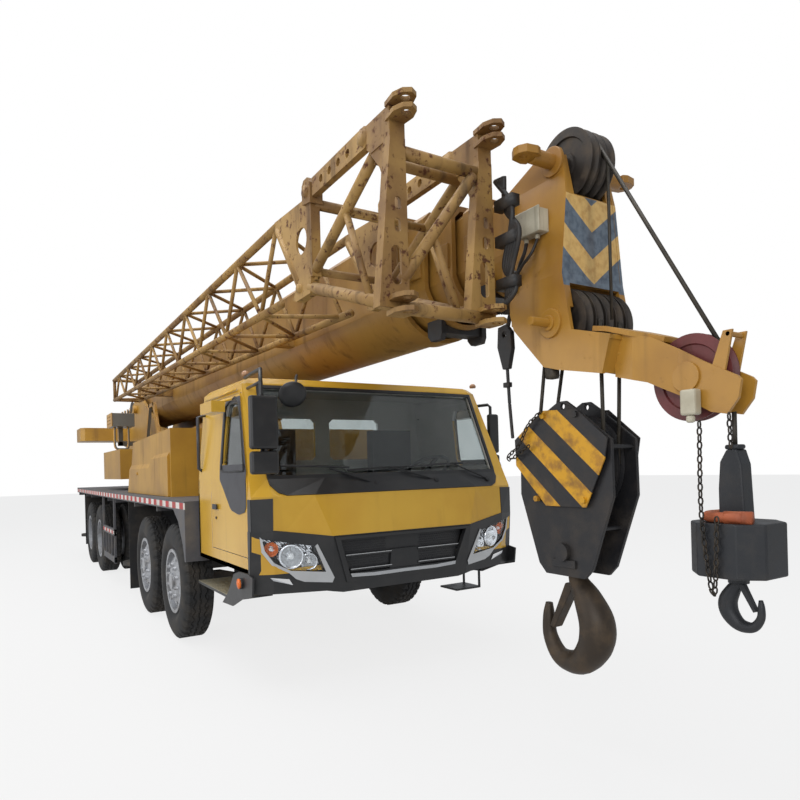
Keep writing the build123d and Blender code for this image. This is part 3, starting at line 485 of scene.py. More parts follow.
def brick(low, high):
    """A box between two opposite corners."""
    low, high = np.sort(np.array([low, high], float), axis=0)
    corner = np.array([[i, j, k] for i in (0, 1) for j in (0, 1) for k in (0, 1)])
    faces = [[0, 1, 3, 2], [4, 6, 7, 5], [0, 4, 5, 1], [2, 3, 7, 6], [0, 2, 6, 4], [1, 5, 7, 3]]
    return low + corner * (high - low), faces


def circle(a, b, radius, count=24):
    """Points round (a, b): radius * (cos t, sin t)."""
    t = np.linspace(0, 2 * np.pi, count, endpoint=False)
    return np.stack([a + radius * np.cos(t), b + radius * np.sin(t)], -1)


def stadium(a, low, high, half, count=9):
    """A slot with round ends: two half circles of radius half round its ends."""
    t = np.linspace(0, np.pi, count)
    top = np.stack([a + half * np.cos(t), high - half + half * np.sin(t)], -1)
    foot = np.stack([a - half * np.cos(t), low + half - half * np.sin(t)], -1)
    return np.vstack([top, foot])


def plate(outline, normal_axis, low, high, holes=()):
    """A flat outline with holes, as thick as low to high along one axis: two faces cut into
    triangles, and a wall on every edge."""
    loops = [np.asarray(loop, float) for loop in (outline, *holes)]
    flat = np.vstack(loops)
    count = len(flat)
    triangles = tessellate_polygon([[Vector((a, b, 0)) for a, b in loop] for loop in loops])
    points = np.vstack([np.insert(flat, normal_axis, at, 1) for at in sorted((low, high))])
    faces = [list(t) for t in triangles] + [[c + count for c in t[::-1]] for t in triangles]
    start = 0
    for loop in loops:
        ring = np.arange(len(loop)) + start
        after = np.roll(ring, -1)
        faces += np.stack([ring, after, after + count, ring + count], -1).tolist()
        start += len(loop)
    return points, faces


def within(points, outline):
    """Which points lie in an outline: those with an odd number of its edges to their right."""
    x, y = points[:, :1], points[:, 1:]
    a = np.asarray(outline, float)
    b = np.roll(a, -1, 0)
    rise = np.where(b[:, 1] == a[:, 1], 1e-9, b[:, 1] - a[:, 1])
    crossing = a[:, 0] + (y - a[:, 1]) * (b[:, 0] - a[:, 0]) / rise
    return (((a[:, 1] > y) != (b[:, 1] > y)) & (x < crossing)).sum(1) % 2 == 1


def sheet(outline, surface, normal_axis, sign, holes=(), creases=()):
    """A sheet cut to an outline with holes and bent along creases: triangles of the plane with
    their third coordinate from surface(a, b), facing sign along the normal axis."""
    corners, edges = [], []
    for loop in (outline, *holes):
        first = len(corners)
        corners += [Vector(map(float, point)) for point in loop]
        edges += [(first + i, first + (i + 1) % len(loop)) for i in range(len(loop))]
    for line in creases:
        first = len(corners)
        corners += [Vector(map(float, point)) for point in line]
        edges += [(first + i, first + i + 1) for i in range(len(line) - 1)]
    found = delaunay_2d_cdt(corners, edges, [], 0, 1e-6)
    flat, triangles = np.array([v[:] for v in found[0]]), np.array(found[2])
    middle = flat[triangles].mean(1)
    kept = within(middle, outline)
    for hole in holes:
        kept &= ~within(middle, hole)
    used, triangles = np.unique(triangles[kept], return_inverse=True)
    triangles, flat = triangles.reshape(-1, 3), flat[used]
    a, b, c = flat[triangles].transpose(1, 0, 2)
    turn = (b - a)[:, 0] * (c - a)[:, 1] - (b - a)[:, 1] * (c - a)[:, 0]
    wrong = turn * sign * (-1 if normal_axis == 1 else 1) < 0
    triangles[wrong] = triangles[wrong][:, ::-1]
    return np.insert(flat, normal_axis, surface(*flat.T), 1), triangles.tolist()


def mirrored(shape):
    """The same shape on the other side of the vehicle, its faces turned over."""
    return shape[0] * np.array([1.0, -1.0, 1.0]), [list(face)[::-1] for face in shape[1]]


def both(shape):
    """A shape and its mirror image."""
    return together(shape, mirrored(shape))


def rod(start, end, radius, sides=14):
    """A round bar from one point to another."""
    return tube([start, end], radius, sides)


def pin(point, low, high, radius, sides=28):
    """A round bar across the vehicle at (x, z)."""
    return rod((point[0], low, point[1]), (point[0], high, point[1]), radius, sides)


# one row a level: z, corner x and y, edge x and y, crease x and y, half width at the rear
CAB_LEVELS = np.array((
    (0.890, -0.030, 1.250, 0.050, 1.100, 0.110, 0.640, 1.250),
    (1.151, 0.000, 1.250, 0.058, 1.100, 0.156, 0.664, 1.250),
    (1.470, 0.000, 1.250, 0.048, 1.095, 0.096, 0.780, 1.250),
    (1.600, -0.060, 1.240, -0.042, 1.113, -0.008, 0.650, 1.245),
    (2.368, -0.400, 1.165, -0.357, 1.078, -0.325, 0.640, 1.175),
    (2.415, -0.440, 1.110, -0.395, 1.030, -0.362, 0.620, 1.120)))
CAB_REAR = -1.47
SCREEN = [(-1.078, 1.628), (-1.042, 2.328), (1.042, 2.328), (1.078, 1.628)]
GRILLE = [(-0.605, 1.118), (0.605, 1.118), (0.505, 0.812), (-0.505, 0.812)]
LAMP = [(1.185, 1.16), (1.165, 1.07), (1.103, 0.977), (0.98, 0.908), (0.713, 0.878),
        (0.803, 1.084)]
# the shell's own openings, a little wider than those of the bumper before them
BEHIND_GRILLE = [(-0.66, 1.14), (0.66, 1.14), (0.56, 0.8), (-0.56, 0.8)]
BEHIND_LAMP = [(1.2, 1.175), (1.18, 1.06), (1.11, 0.96), (0.985, 0.89), (0.7, 0.86), (0.79, 1.1)]
SIDES = ((-1, "right"), (1, "left"))


def other_way(outline):
    """An outline drawn in y and z on the other side."""
    return [(-y, z) for y, z in outline]


def whole(half):
    """An outline in y and z from its half on one side."""
    return half + other_way(half)[::-1]


def whole_plan(half):
    """An outline in x and y from its half on one side."""
    return half + [(x, -y) for x, y in half[::-1]]


def level(value):
    """A flat surface for sheet: the same value everywhere."""
    return lambda a, b: np.full(len(a), value)


def folded_x(levels, y, z):
    """x of a folded front: straight between corner, edge and crease, flat between creases."""
    y, z = np.abs(np.asarray(y, float)), np.asarray(z, float)
    cx, cy, ex, ey, rx, ry = [np.interp(z, levels[:, 0], levels[:, n]) for n in range(1, 7)]
    outer = ex + (cx - ex) * (y - ey) / (cy - ey)
    inner = rx + (ex - rx) * (y - ry) / (ey - ry)
    return np.where(y > ey, outer, np.where(y > ry, inner, rx))


def folded(levels, out=0.0):
    """A folded front as a surface for sheet, moved out along x."""
    return lambda y, z: folded_x(levels, y, z) + out


def fold_lines(levels, ends=1.4):
    """The creases of a folded front, in y and z: across it at each level, and up each fold."""
    across = [[(-ends, z), (ends, z)] for z in levels[:, 0]]
    return across + [[(side * y, z) for z, y in levels[:, (0, column)]]
                     for column in (4, 6) for side in (-1, 1)]


def cab_side_y(x, z):
    """Half width of the cab: straight from its rear wall to the front corner."""
    cx, cy, rear = [np.interp(z, CAB_LEVELS[:, 0], CAB_LEVELS[:, n]) for n in (1, 2, 7)]
    return rear + (cy - rear) * (x - CAB_REAR) / (cx - CAB_REAR)


def lined(middle, lining):
    """A pattern with the lining where dot(place - middle, facing) is below 0."""
    def pattern(finish, tone):
        away = finish.node("VectorMath", {"operation": "SUBTRACT"},
                           {0: finish.place(), 1: middle})
        turned = finish.node("VectorMath", {"operation": "DOT_PRODUCT"},
                             {0: away, 1: finish.facing()}, "Value")
        return finish.mix(turned < 0, tone, lining)
    return pattern


cab_paint = painted("cab_paint", (208, 164, 56), (198, 152, 48), 0, 0.22, 0.12, 0.22,
                    pattern=lined((STATION - 0.85, 0, 1.62), colour(196, 192, 184)))
coat(cab_paint, "door_right", "door_left")
front_edge = [(y, z) for z, y in CAB_LEVELS[:, (0, 2)]]
front = sheet(whole(other_way(front_edge)), folded(CAB_LEVELS), 0, 1,
              [SCREEN, BEHIND_GRILLE, BEHIND_LAMP, other_way(BEHIND_LAMP)],
              fold_lines(CAB_LEVELS))
rear_panes = [[(0.62, 2.18), (0.12, 2.18), (0.08, 2.14), (0.08, 1.8), (0.12, 1.76), (0.62, 1.76),
               (0.66, 1.8), (0.66, 2.14)]]
rear_panes.append(other_way(rear_panes[0]))
back_edge = [(y, z) for z, y in CAB_LEVELS[:, (0, 7)]]
back = sheet(whole(other_way(back_edge)), level(CAB_REAR), 0, -1, rear_panes)
DOORWAY = [(-1.046, 1.009), (-0.069, 1.009), (-0.069, 1.56), (-0.394, 2.296), (-1.046, 2.296)]
corner_line = [(x, z) for z, x in CAB_LEVELS[:, (0, 1)]]
side_outline = [(CAB_REAR, 0.89), *corner_line, (CAB_REAR, 2.415)]
levels_across = [[(CAB_REAR, z), (0.2, z)] for z in CAB_LEVELS[1:5, 0]]
wall = sheet(side_outline, lambda x, z: -cab_side_y(x, z), 1, -1, [DOORWAY], levels_across)
top = CAB_LEVELS[-1]
half_roof = [(CAB_REAR, top[7]), (top[1], top[2]), (top[3], top[4]), (top[5], top[6])]
roof = sheet(whole_plan(half_roof), level(top[0]), 2, 1)
foot = CAB_LEVELS[0]
half_floor = [(CAB_REAR, foot[7]), (foot[1], foot[2]), (foot[3], foot[4]), (0.07, foot[6])]
floor_pan = sheet(whole_plan(half_floor), level(foot[0]), 2, -1)
add("cab_body", together(front, back, both(wall), roof, floor_pan), cab_paint, "carrier",
    thick=0.035, replaces="cab_shell")
for side, name in SIDES:
    add(f"drip_rail_{name}", rod((-1.38, side * 1.19, 2.32), (-0.47, side * 1.19, 2.325), 0.01, 8),
        cab_paint, "carrier", True)

trim = dark("trim_plastic", (28, 29, 31), (62, 60, 58), 0.38, grime=0.3)
seat_cloth = dark("seat_cloth", (66, 66, 68), (54, 54, 56), 0.85)
coat(seat_cloth, "cab_interior")
glass = Finish("window_glass", roughness=0.02, transmission_weight=1.0, ior=1.45)
rained = glass.step(glass.noise(2, 3), 0.3, 0.8)
glass.set(base_color=glass.mix(rained, colour(206, 212, 212), colour(188, 196, 196)))
coat(glass, "door_glass_right", "door_glass_left")
screen = sheet(SCREEN, folded(CAB_LEVELS, -0.016), 0, 1, creases=fold_lines(CAB_LEVELS))
rear_glass = [sheet(pane, level(CAB_REAR + 0.02), 0, -1) for pane in rear_panes]
add("cab_panes", together(screen, *rear_glass), glass, "carrier", thick=0.006,
    replaces="cab_glass")

# ---- Films and seals of the cab ----------------------------------------------------------------
# Black films and rubber on the yellow doors: the swept patch below each window, the seal round
# the glass, the handles and the long grab rails behind the doors.


def door_y(z):
    """Half width of the cab at a height: the wall leans in above the waist."""
    return np.interp(z, [1.60, 2.375], [1.25, 1.175]) + 0.001


def door_strip(outer, inner, side, depth=0.003):
    """A film between two outlines with equal counts, drawn in x and z on the door's skin."""
    loops = np.stack([np.asarray(outer, float), np.asarray(inner, float)])
    x, z = loops[..., 0], loops[..., 1]
    points = np.stack([x, side * (door_y(z) + depth), z], -1)
    return points.reshape(-1, 3), grid_faces(2, len(outer), False, True).tolist()


def door_film(rear, front, side, rows=18, depth=0.003):
    """A film between two edges given as x against z."""
    z = np.linspace(max(rear[0][1], front[0][1]), min(rear[-1][1], front[-1][1]), rows)
    edges = [np.interp(z, [p[1] for p in edge], [p[0] for p in edge]) for edge in (rear, front)]
    y = side * (door_y(z) + depth)
    points = np.stack([np.stack([x, y, z], -1) for x in edges], 1)
    return points.reshape(-1, 3), grid_faces(rows, 2).tolist()


film = dark("black_film", (44, 44, 50), (60, 58, 58), 0.35, grime=0.25)
seal = dark("rubber_seal", (24, 24, 26), (40, 40, 42), 0.5, grime=0.3)
rim_out = [(-0.095, 1.655), (-0.375, 2.266), (-0.70, 2.27), (-0.80, 2.21), (-0.795, 1.72),
           (-0.72, 1.655)]
rim_in = [(-0.153, 1.668), (-0.407, 2.222), (-0.697, 2.222), (-0.742, 2.129), (-0.742, 1.742),
          (-0.69, 1.668)]
rear_edge = [(-0.30, 1.332), (-0.44, 1.345), (-0.50, 1.375), (-0.60, 1.46), (-0.68, 1.53),
             (-0.77, 1.60), (-0.795, 1.72)]
front_edge = [(-0.26, 1.332), (-0.14, 1.345), (-0.10, 1.40), (-0.096, 1.655), (-0.13, 1.72)]
for side, name in SIDES:
    body = f"{name}_door"
    add(f"window_frame_{name}", door_strip(rim_out, rim_in, side), film, body)
    add(f"door_patch_{name}", door_film(rear_edge, front_edge, side), film, body)
    seal_line = bend([(x, side * (door_y(z) + 0.002), z) for x, z in rim_in + rim_in[:1]], 3)
    add(f"window_seal_{name}", tube(seal_line, 0.009, 6), seal, body, True)
    add(f"door_handle_{name}",
        brick((-0.951, side * 1.262, 1.348), (-0.839, side * 1.272, 1.392)), film, body)
    lock = copies(turned_shape(((0, 0), (0.012, 0), (0.012, 0.006), (0, 0.007)), 10),
                  [(-0.90, side * 1.252, 1.275)], (0, side, 0))
    add(f"door_lock_{name}", lock, film, body)
    rail = [(-1.39, side * y, z) for y, z in ((1.22, 1.67), (1.262, 1.70), (1.262, 1.93),
                                              (1.262, 2.17), (1.155, 2.20))]
    add(f"grab_rail_{name}", tube(rail, 0.0155, 10), film, "carrier", True)

# ---- Front of the cab -------------------------------------------------------------------------
# Moulded bumper: silver trim under the headlamps, chromed reflectors behind clear covers, a
# ribbed grille with punched mesh, and pantograph wipers on the cowl.
BUMPER = np.array(((0.68, -0.045, 1.255, 0.025, 1.1, 0.096, 0.64),
                   (1.24, 0.0, 1.262, 0.064, 1.108, 0.176, 0.664)))


def bumper_x(y, z):
    """x of the bumper's face, folded like the cab's."""
    return folded_x(BUMPER, y, z)


def bumper_strip(outer, inner, side, out=0.01):
    """A strip between two lines with equal counts, drawn in y and z on the bumper's face."""
    points = []
    for line in (outer, inner):
        y, z = np.asarray(line, float).T
        points.append(np.stack([bumper_x(y, z) + out, side * y, z], -1))
    return np.stack(points).reshape(-1, 3), grid_faces(2, len(outer)).tolist()


bumper_half = [(-0.664, 1.151), (-1.1, 1.218), (-1.262, 1.213), (-1.258, 0.745),
               (-0.7, 0.727), (-0.56, 0.7)]
bumper = sheet(whole(bumper_half), bumper_x, 0, 1, [GRILLE, LAMP, other_way(LAMP)],
               fold_lines(BUMPER))
bumper_end = sheet([(-0.06, 0.745), (-0.04, 0.745), (0.0, 1.213), (-0.06, 1.213)],
                   level(-1.262), 1, -1)
grille_frame = sheet([(-0.655, 1.14), (0.655, 1.14), (0.535, 0.775), (-0.535, 0.775)],
                     folded(BUMPER, 0.012), 0, 1, [GRILLE], fold_lines(BUMPER))
surround = sheet(whole([(-0.99, 1.478), (-1.05, 1.5), (-1.1, 1.56), (-1.108, 1.64),
                        (-1.07, 2.354)]),
                 folded(CAB_LEVELS, 0.013), 0, 1, [SCREEN], fold_lines(CAB_LEVELS))
patch = sheet([(-1.105, 1.216), (-1.25, 1.213), (-1.25, 1.452), (-1.098, 1.456)],
              folded(CAB_LEVELS, 0.006), 0, 1)
patch_end = sheet([(-0.066, 1.213), (0.006, 1.213), (0.006, 1.452), (-0.066, 1.452)],
                  level(-1.256), 1, -1)
for name, shape, wall in (("bumper", together(bumper, both(bumper_end)), 0.03),
                          ("grille_frame", grille_frame, 0.03),
                          ("screen_surround", surround, 0.014),
                          ("corner_patches", both(together(patch, patch_end)), 0.006)):
    add(name, shape, trim, "carrier", thick=wall, replaces="cab_trim")
RIBS = ((0.545, 0.982), (0.505, 0.868))         # half width and height of the grille's ribs
behind = [plate(GRILLE, 0, 0.082, 0.098)]
behind += [brick((0.09, side * 0.125, z - 0.009), (0.128, side * reach, z + 0.009))
           for side in (-1, 1) for reach, z in RIBS]
behind += [plate([(-0.125, 1.0), (0.125, 1.0), (0.15, 0.812), (-0.15, 0.812)], 0, 0.09, 0.12),
           plate([(-0.505, 0.845), (0.505, 0.845), (0.5, 0.812), (-0.5, 0.812)], 0, 0.09, 0.132)]
add("grille_back", together(*behind), trim, "carrier", bevel=0.003, replaces="cab_trim")
y, z = np.array(LAMP).T
walls = []
for side in (-1, 1):
    loops = [np.stack([bumper_x(y, z) + out, side * y, z], -1) for out in (0.0, -0.09)]
    walls += [(np.vstack(loops), grid_faces(2, len(LAMP), False, True).tolist()),
              (loops[1], [list(range(len(LAMP)))])]
add("lamp_housings", together(*walls), trim, "carrier", outward=False, replaces="cab_trim")


def clouded(name, scale, first, second, **sockets):
    """A lens or lamp finish whose tint drifts between two colours."""
    finish = Finish(name, **sockets)
    finish.set(base_color=finish.mix(finish.noise(scale, 2), colour(*first), colour(*second)))
    return finish


cover = clouded("lamp_cover", 30, (246, 248, 250), (232, 236, 240), roughness=0.02,
                transmission_weight=1.0, ior=1.3)
lens = sheet(LAMP, folded(BUMPER, -0.002), 0, 1, creases=fold_lines(BUMPER))
add("lamp_covers", both(lens), cover, "carrier", thick=0.005, replaces="front_lamps")
silver_trim = dark("silver_trim", (186, 188, 190), (150, 148, 142), 0.35, 0.5, 0.2)
mirror_metal = dark("reflector", (225, 226, 228), (200, 200, 202), 0.07, 1.0, 0.2)
amber = clouded("amber_lens", 40, (235, 120, 40), (205, 92, 22), base_color=colour(225, 110, 30),
                roughness=0.2)
bulb = clouded("bulb", 60, (235, 235, 230), (200, 205, 210), roughness=0.1,
               emission_strength=0.15, emission_color=(1, 1, 1))
lamp_edge = [(1.185, 1.16), (1.165, 1.07), (1.103, 0.977), (0.98, 0.908), (0.9, 0.9),
             (0.82, 0.89), (0.713, 0.878), (0.713, 0.878), (0.803, 1.084)]
trim_edge = [(1.2, 1.175), (1.187, 1.06), (1.118, 0.96), (0.992, 0.892), (0.94, 0.842),
             (0.876, 0.815), (0.66, 0.79), (0.645, 0.828), (0.785, 1.10)]
corners = np.array([(1.18, 1.155), (0.806, 1.08), (0.72, 0.884), (0.98, 0.912)])
SHELL_ROWS, SHELL_COLUMNS = 22, 12
u = np.linspace(0, 1, SHELL_ROWS)[:, None, None]
v = np.linspace(0, 1, SHELL_COLUMNS)[None, :, None]
flat = ((1 - v) * ((1 - u) * corners[0] + u * corners[1])
        + v * ((1 - u) * corners[3] + u * corners[2]))
y, z = flat[..., 0].ravel(), flat[..., 1].ravel()
ripple = 0.010 * np.abs(np.sin(y * 60)) + 0.006 * np.abs(np.sin(z * 75))
shell_x = bumper_x(y, z) - 0.078 + ripple
bowl = turned_shape(((0.012, 0.004), (0.5, 0.12), (0.86, 0.42), (0.98, 0.7), (1.1, 0.72),
                     (1.1, 0.5)), 28)
knob = turned_shape(((0, 0.1), (0.26, 0.1), (0.3, 0.4), (0.22, 0.62), (0, 0.7)), 14)
fog_y, fog_z = np.array([(1.128, 0.866), (1.105, 0.842), (0.962, 0.798), (0.99, 0.845)]).T
fog_x = bumper_x(fog_y, fog_z) + 0.0065
side_lamp = turned_shape(((0, 0), (0.04, 0), (0.038, 0.012), (0.02, 0.018), (0, 0.02)), 20)
for side, name in SIDES:
    add(f"lamp_trim_{name}", bumper_strip(trim_edge, lamp_edge, side, 0.0085), silver_trim,
        "carrier", outward=False)
    shell = np.stack([shell_x, side * y, z], -1), grid_faces(SHELL_ROWS, SHELL_COLUMNS).tolist()
    add(f"lamp_shell_{name}", shell, mirror_metal, "carrier", outward=False)
    for lamp, lamp_y, lamp_z, size, finish in (("dip", 0.955, 1.015, 0.086, mirror_metal),
                                               ("main", 0.818, 0.965, 0.06, mirror_metal),
                                               ("turn", 1.10, 1.075, 0.05, amber)):
        face = (0.96, side * 0.26, -0.06)
        place = [(float(bumper_x(lamp_y, lamp_z)) - 0.074, side * lamp_y, lamp_z)]
        add(f"lamp_{lamp}_{name}", copies(bowl, place, face, size), finish, "carrier", True,
            False)
        add(f"bulb_{lamp}_{name}", copies(knob, place, face, size), bulb, "carrier", True)
    fog = np.stack([fog_x, side * fog_y, fog_z], -1), [[0, 1, 2, 3]]
    add(f"fog_lamp_{name}", fog, mirror_metal, "carrier")
    add(f"side_lamp_{name}", copies(side_lamp, [(-0.19, side * 1.29, 0.812)], (0, side, 0)),
        amber, "carrier", True)

MESH_X = 0.0985             # face of the grille's back plate
row_y, row_z = np.meshgrid(np.arange(-0.56, 0.561, 0.02), np.arange(0.83, 1.10, 0.02))
row_y = row_y + 0.01 * (np.arange(row_z.shape[0]) % 2)[:, None]
# holes 20 mm clear of the grille's slanting sides, and none behind the middle rib
keep = (np.abs(row_y) < 0.505 + (row_z - 0.812) * 0.31 - 0.02) & (np.abs(row_y) > 0.16)
holes = copies(turned_shape(((0.0055, 0), (0.0075, 0.002), (0.0075, 0)), 5),
               np.stack([np.full(keep.sum(), MESH_X), row_y[keep], row_z[keep]], -1), (1, 0, 0))
add("grille_mesh", holes, film, "carrier")
for index, (reach, z) in enumerate(RIBS):
    for side, name in SIDES:
        add(f"grille_edge_{index}_{name}",
            brick((0.126, side * 0.13, z + 0.004), (0.1295, side * reach, z + 0.0095)),
            silver_trim, "carrier")
sill = [[(0.51, 0.843), (0.3, 0.832), (0.0, 0.834), (-0.3, 0.832), (-0.51, 0.843)],
        [(0.5, 0.816), (0.29, 0.806), (0.0, 0.809), (-0.29, 0.806), (-0.5, 0.816)]]
lip = np.array([[(0.134, y, z) for y, z in line] for line in sill])
lip[1, :, 0] += 0.006
add("grille_lip", (lip.reshape(-1, 3), grid_faces(2, 5).tolist()), silver_trim, "carrier")

wipers = (((0.035, -0.212, 1.533), (-0.02, -0.6, 1.672), (-0.036, -1.0, 1.7),
           (-0.02, -0.42, 1.675)),
          ((0.035, 0.39, 1.545), (-0.02, -0.06, 1.675), (-0.02, -0.444, 1.652),
           (-0.02, 0.13, 1.671)),
          ((0.025, 0.965, 1.535), (-0.02, 0.63, 1.68), (-0.022, 0.15, 1.668),
           (-0.026, 0.73, 1.69)))
for number, (pivot, joint, start, end) in enumerate(wipers, 1):
    pivot, joint, start, end = map(np.array, (pivot, joint, start, end))
    elbow = pivot * 0.8 + joint * 0.2 + np.array([0.015, 0, 0.004])
    arm = tube([pivot, elbow, joint + np.array([0.008, 0, 0])], 0.0075, 6)
    blade = tube([start, start * 0.5 + end * 0.5 + np.array([0.006, 0, 0.004]), end], 0.009, 6)
    cap = copies(turned_shape(((0, -0.02), (0.026, -0.02), (0.024, 0.02), (0, 0.026)), 14),
                 [pivot], (1, 0, 0.5))
    add(f"wiper_{number}", together(arm, blade, cap), seal, "carrier")

roof_lamp = turned_shape(((0, 0), (0.03, 0), (0.032, 0.02), (0.02, 0.036), (0, 0.042)), 16)
clay = dark("clay_lens", (176, 132, 96), (140, 110, 84), 0.3, grime=0.3)
add("roof_lamps", copies(roof_lamp, [(-0.37, y, 2.425) for y in (-1.14, 1.14)]), clay, "carrier",
    True)

# ---- Mirrors -----------------------------------------------------------------------------------
# Black plastic housings on bent tube: a tall mirror over a wide-angle one at each side, and a
# round one over the right corner.


def mirror_pair(y, half, x, top):
    """A tall mirror housing and a lower one under it."""
    low = top - 0.385
    return together(brick((x - 0.01, y - half, low), (x + 0.045, y + half, top)),
                    brick((x - 0.01, y - half, low - 0.18), (x + 0.05, y + half, low - 0.015)))


right_stem = [(0.155, -1.205, 1.70), (0.155, -1.205, 2.30), (0.15, -1.205, 2.325),
              (0.04, -1.165, 2.42), (-0.2, -1.15, 2.418), (-0.4, -1.135, 2.412)]
stems = [tube(right_stem, 0.015, 12), rod((0.155, -1.205, 2.31), (-0.33, -1.14, 2.32), 0.012),
         rod((-0.16, -0.82, 2.29), (-0.29, -0.74, 2.44), 0.01),
         rod((-0.29, -0.74, 2.44), (-0.42, -0.70, 2.43), 0.01)]
disc = copies(turned_shape(((0, 0.018), (0.08, 0.014), (0.108, 0.004), (0.112, -0.008),
                            (0.1, -0.014), (0, -0.014)), 40), [(-0.15, -0.837, 2.261)],
              (0.83, -0.2, -0.52))
add("mirrors_right", mirror_pair(-1.205, 0.106, 0.17, 2.205), trim, "carrier", bevel=0.02,
    replaces="cab_trim")
add("mirror_stems_right", together(*stems, disc), trim, "carrier", True, replaces="cab_trim")
add("mirrors_left", mirror_pair(1.3145, 0.06, -0.305, 2.165), trim, "left_door", bevel=0.02)
left_stem = [(-0.32, 1.3145, 1.66), (-0.32, 1.3145, 2.24), (-0.34, 1.30, 2.262),
             (-0.47, 1.175, 2.25)]
add("mirror_stems_left", tube(left_stem, 0.015, 12), trim, "left_door", True)

# ---- Steps -----------------------------------------------------------------------------------
# Aluminium treadplate with raised bars on the steps below the doors, in plate brackets; a low
# step hangs below the left one.
tread = dark("treadplate", (168, 162, 140), (120, 110, 90), 0.4, 0.6, 0.5, 2)
bars = tread.noise(30, 1, (0.4, 2.2, 1))
tread.set(normal=tread.bump(tread.step(bars, 0.5, 0.6), 0.004, 0.9))
bracket = [(-0.06, 0.9), (0.06, 0.88), (0.04, 0.74), (-0.2, 0.69), (-0.448, 0.598),
           (-0.72, 0.585), (-0.56, 0.69), (-0.39, 0.862), (-0.261, 0.893)]
steps = together(plate(bracket, 1, -1.272, -1.256),
                 brick((-1.48, -1.27, 0.64), (-0.43, -0.94, 0.662)),
                 brick((-1.4, -0.96, 0.66), (-0.5, -0.93, 0.76)),
                 brick((-1.0, -0.96, 0.74), (-0.9, -0.93, 0.8)),
                 rod((-0.19, -1.29, 0.812), (-0.19, -1.27, 0.812), 0.042))
low_step = [brick((-0.76, 0.96, 0.43), (-0.48, 1.262, 0.448))]
low_step += [brick((x - 0.012, 1.246, 0.44), (x + 0.012, 1.262, 0.65)) for x in (-0.748, -0.492)]
add("step_brackets", together(both(steps), *low_step), trim, "carrier", bevel=0.003,
    replaces="cab_trim")
for side, name in SIDES:
    add(f"tread_{name}", brick((-1.478, side * 0.945, 0.662), (-0.432, side * 1.268, 0.666)),
        tread, "carrier")

# ---- Engine hood and turntable ------------------------------------------------------------------
# Plate work behind the cab: the hood over the engine, the slewing frame with its operator's cab,
# winches and counterweight, in an older and dirtier coat than the cab's.
hood_paint = painted("hood_paint", (178, 134, 46), (156, 114, 38), 0.05, 0.3, 0.4, 0.42)
coat(hood_paint, "engine_hood", "turntable_frame", "counterweight")
room_paint = painted("room_paint", (190, 142, 54), (174, 126, 46), 0.04, 0.3, 0.3, 0.35,
                     pattern=lined((STATION - 6.65, 0.95, 2.3), colour(104, 102, 96)))
coat(room_paint, "operator_cab", "operator_door")
coat(glass, "operator_cab_glass")


def rope_turn_shading(finish, tone):
    """Rope laid on the drums, its turns shaded in paint: sin(2 pi y / 22 mm) gives a painted
    highlight on each turn's crest and painted shade in the grooves, between the flanges.
    """
    x, y, z = finish.spot()
    # painted light and shade: a highlight on the crest of each rope turn, shade in the groove
    turn = (y * (2 * math.pi / 0.022)).maths("SINE") * 0.5 + 0.5
    return finish.mix(turn * (abs(y) < 0.305), tone, colour(96, 88, 74))


rope_drums = dark("rope_drums", (48, 44, 40), (92, 84, 70), 0.5, 0.4, 0.3, pattern=rope_turn_shading)
coat(rope_drums, "winch_drums")

# ---- Boom --------------------------------------------------------------------------------------
# Bent high-strength plate, welded along its flanks. The coat is old: faded, rain-streaked, rusty
# in spots and darker towards the belly. The cylinder below has a chromed rod.
BOOM_BELLY = {"boom_base": 2.6, "boom_section_2": 2.649, "boom_section_3": 2.695,
              "boom_section_4": 2.737}


def boom_coat(belly):
    """A pattern: darker towards the belly, and dark undersides on the slide pads by the mouth."""
    def pattern(finish, tone):
        x, y, z = finish.spot()
        # the coat turns darker and browner over the lowest 0.3 m, towards the belly
        low = finish.step(z, belly + 0.30, belly + 0.02)
        tone = finish.mix(low * 0.25, tone, colour(120, 78, 34))
        under = (z < belly - 0.022) * (abs(y) < 0.21) * (x > 0.3)
        return finish.mix(under, tone, colour(26, 25, 26))
    return pattern


for node, belly in BOOM_BELLY.items():
    boom_paint = painted(node + "_coat", (166, 124, 54), (138, 98, 42), 0.18, 0.35, 0.5, 0.45,
                         pattern=boom_coat(belly))
    coat(boom_paint, node)
coat(painted("barrel_coat", (178, 128, 56), (150, 104, 46), 0.1, 0.3, 0.4, 0.45), "lift_barrel")
chrome = dark("rod_chrome", (190, 190, 192), (120, 110, 98), 0.2, 1.0, 0.3)
coat(chrome, "lift_rod")

# ---- Stowed jib ----------------------------------------------------------------------------------
# Lattice and plate frame pinned along the boom's side: tubes coped and welded, plates cut and
# pressed into channels. Ochre paint, scraped and rusted through at the joints.
JIB_OUT, JIB_IN, LATTICE_Y = -1.07, -0.5, -1.05      # y of the two root frames and the lattice
JIB_ROOT, JIB_END, BAYS, BAY = 0.2, -7.8, 9, 0.92
jib_paint = painted("jib_paint", (166, 130, 70), (120, 86, 44), 0.7, 0.4, 0.7, 0.6, 1.5)


def jib_chord(x):
    """Heights of the upper and lower chords and the inboard y of the lattice at x."""
    share = (JIB_ROOT - x) / (JIB_ROOT - JIB_END)
    return 3.45 - 0.12 * share, 2.872 + 0.113 * share, JIB_IN + 0.02 - 0.17 * share


def jib_node(row_name, x):
    """A joint of the lattice: T and B on the outer side, M and N on the inner one."""
    upper, lower, inboard = jib_chord(x)
    return {"T": (x, LATTICE_Y, upper), "B": (x, LATTICE_Y, lower),
            "M": (x, inboard, upper), "N": (x, inboard, lower)}[row_name]


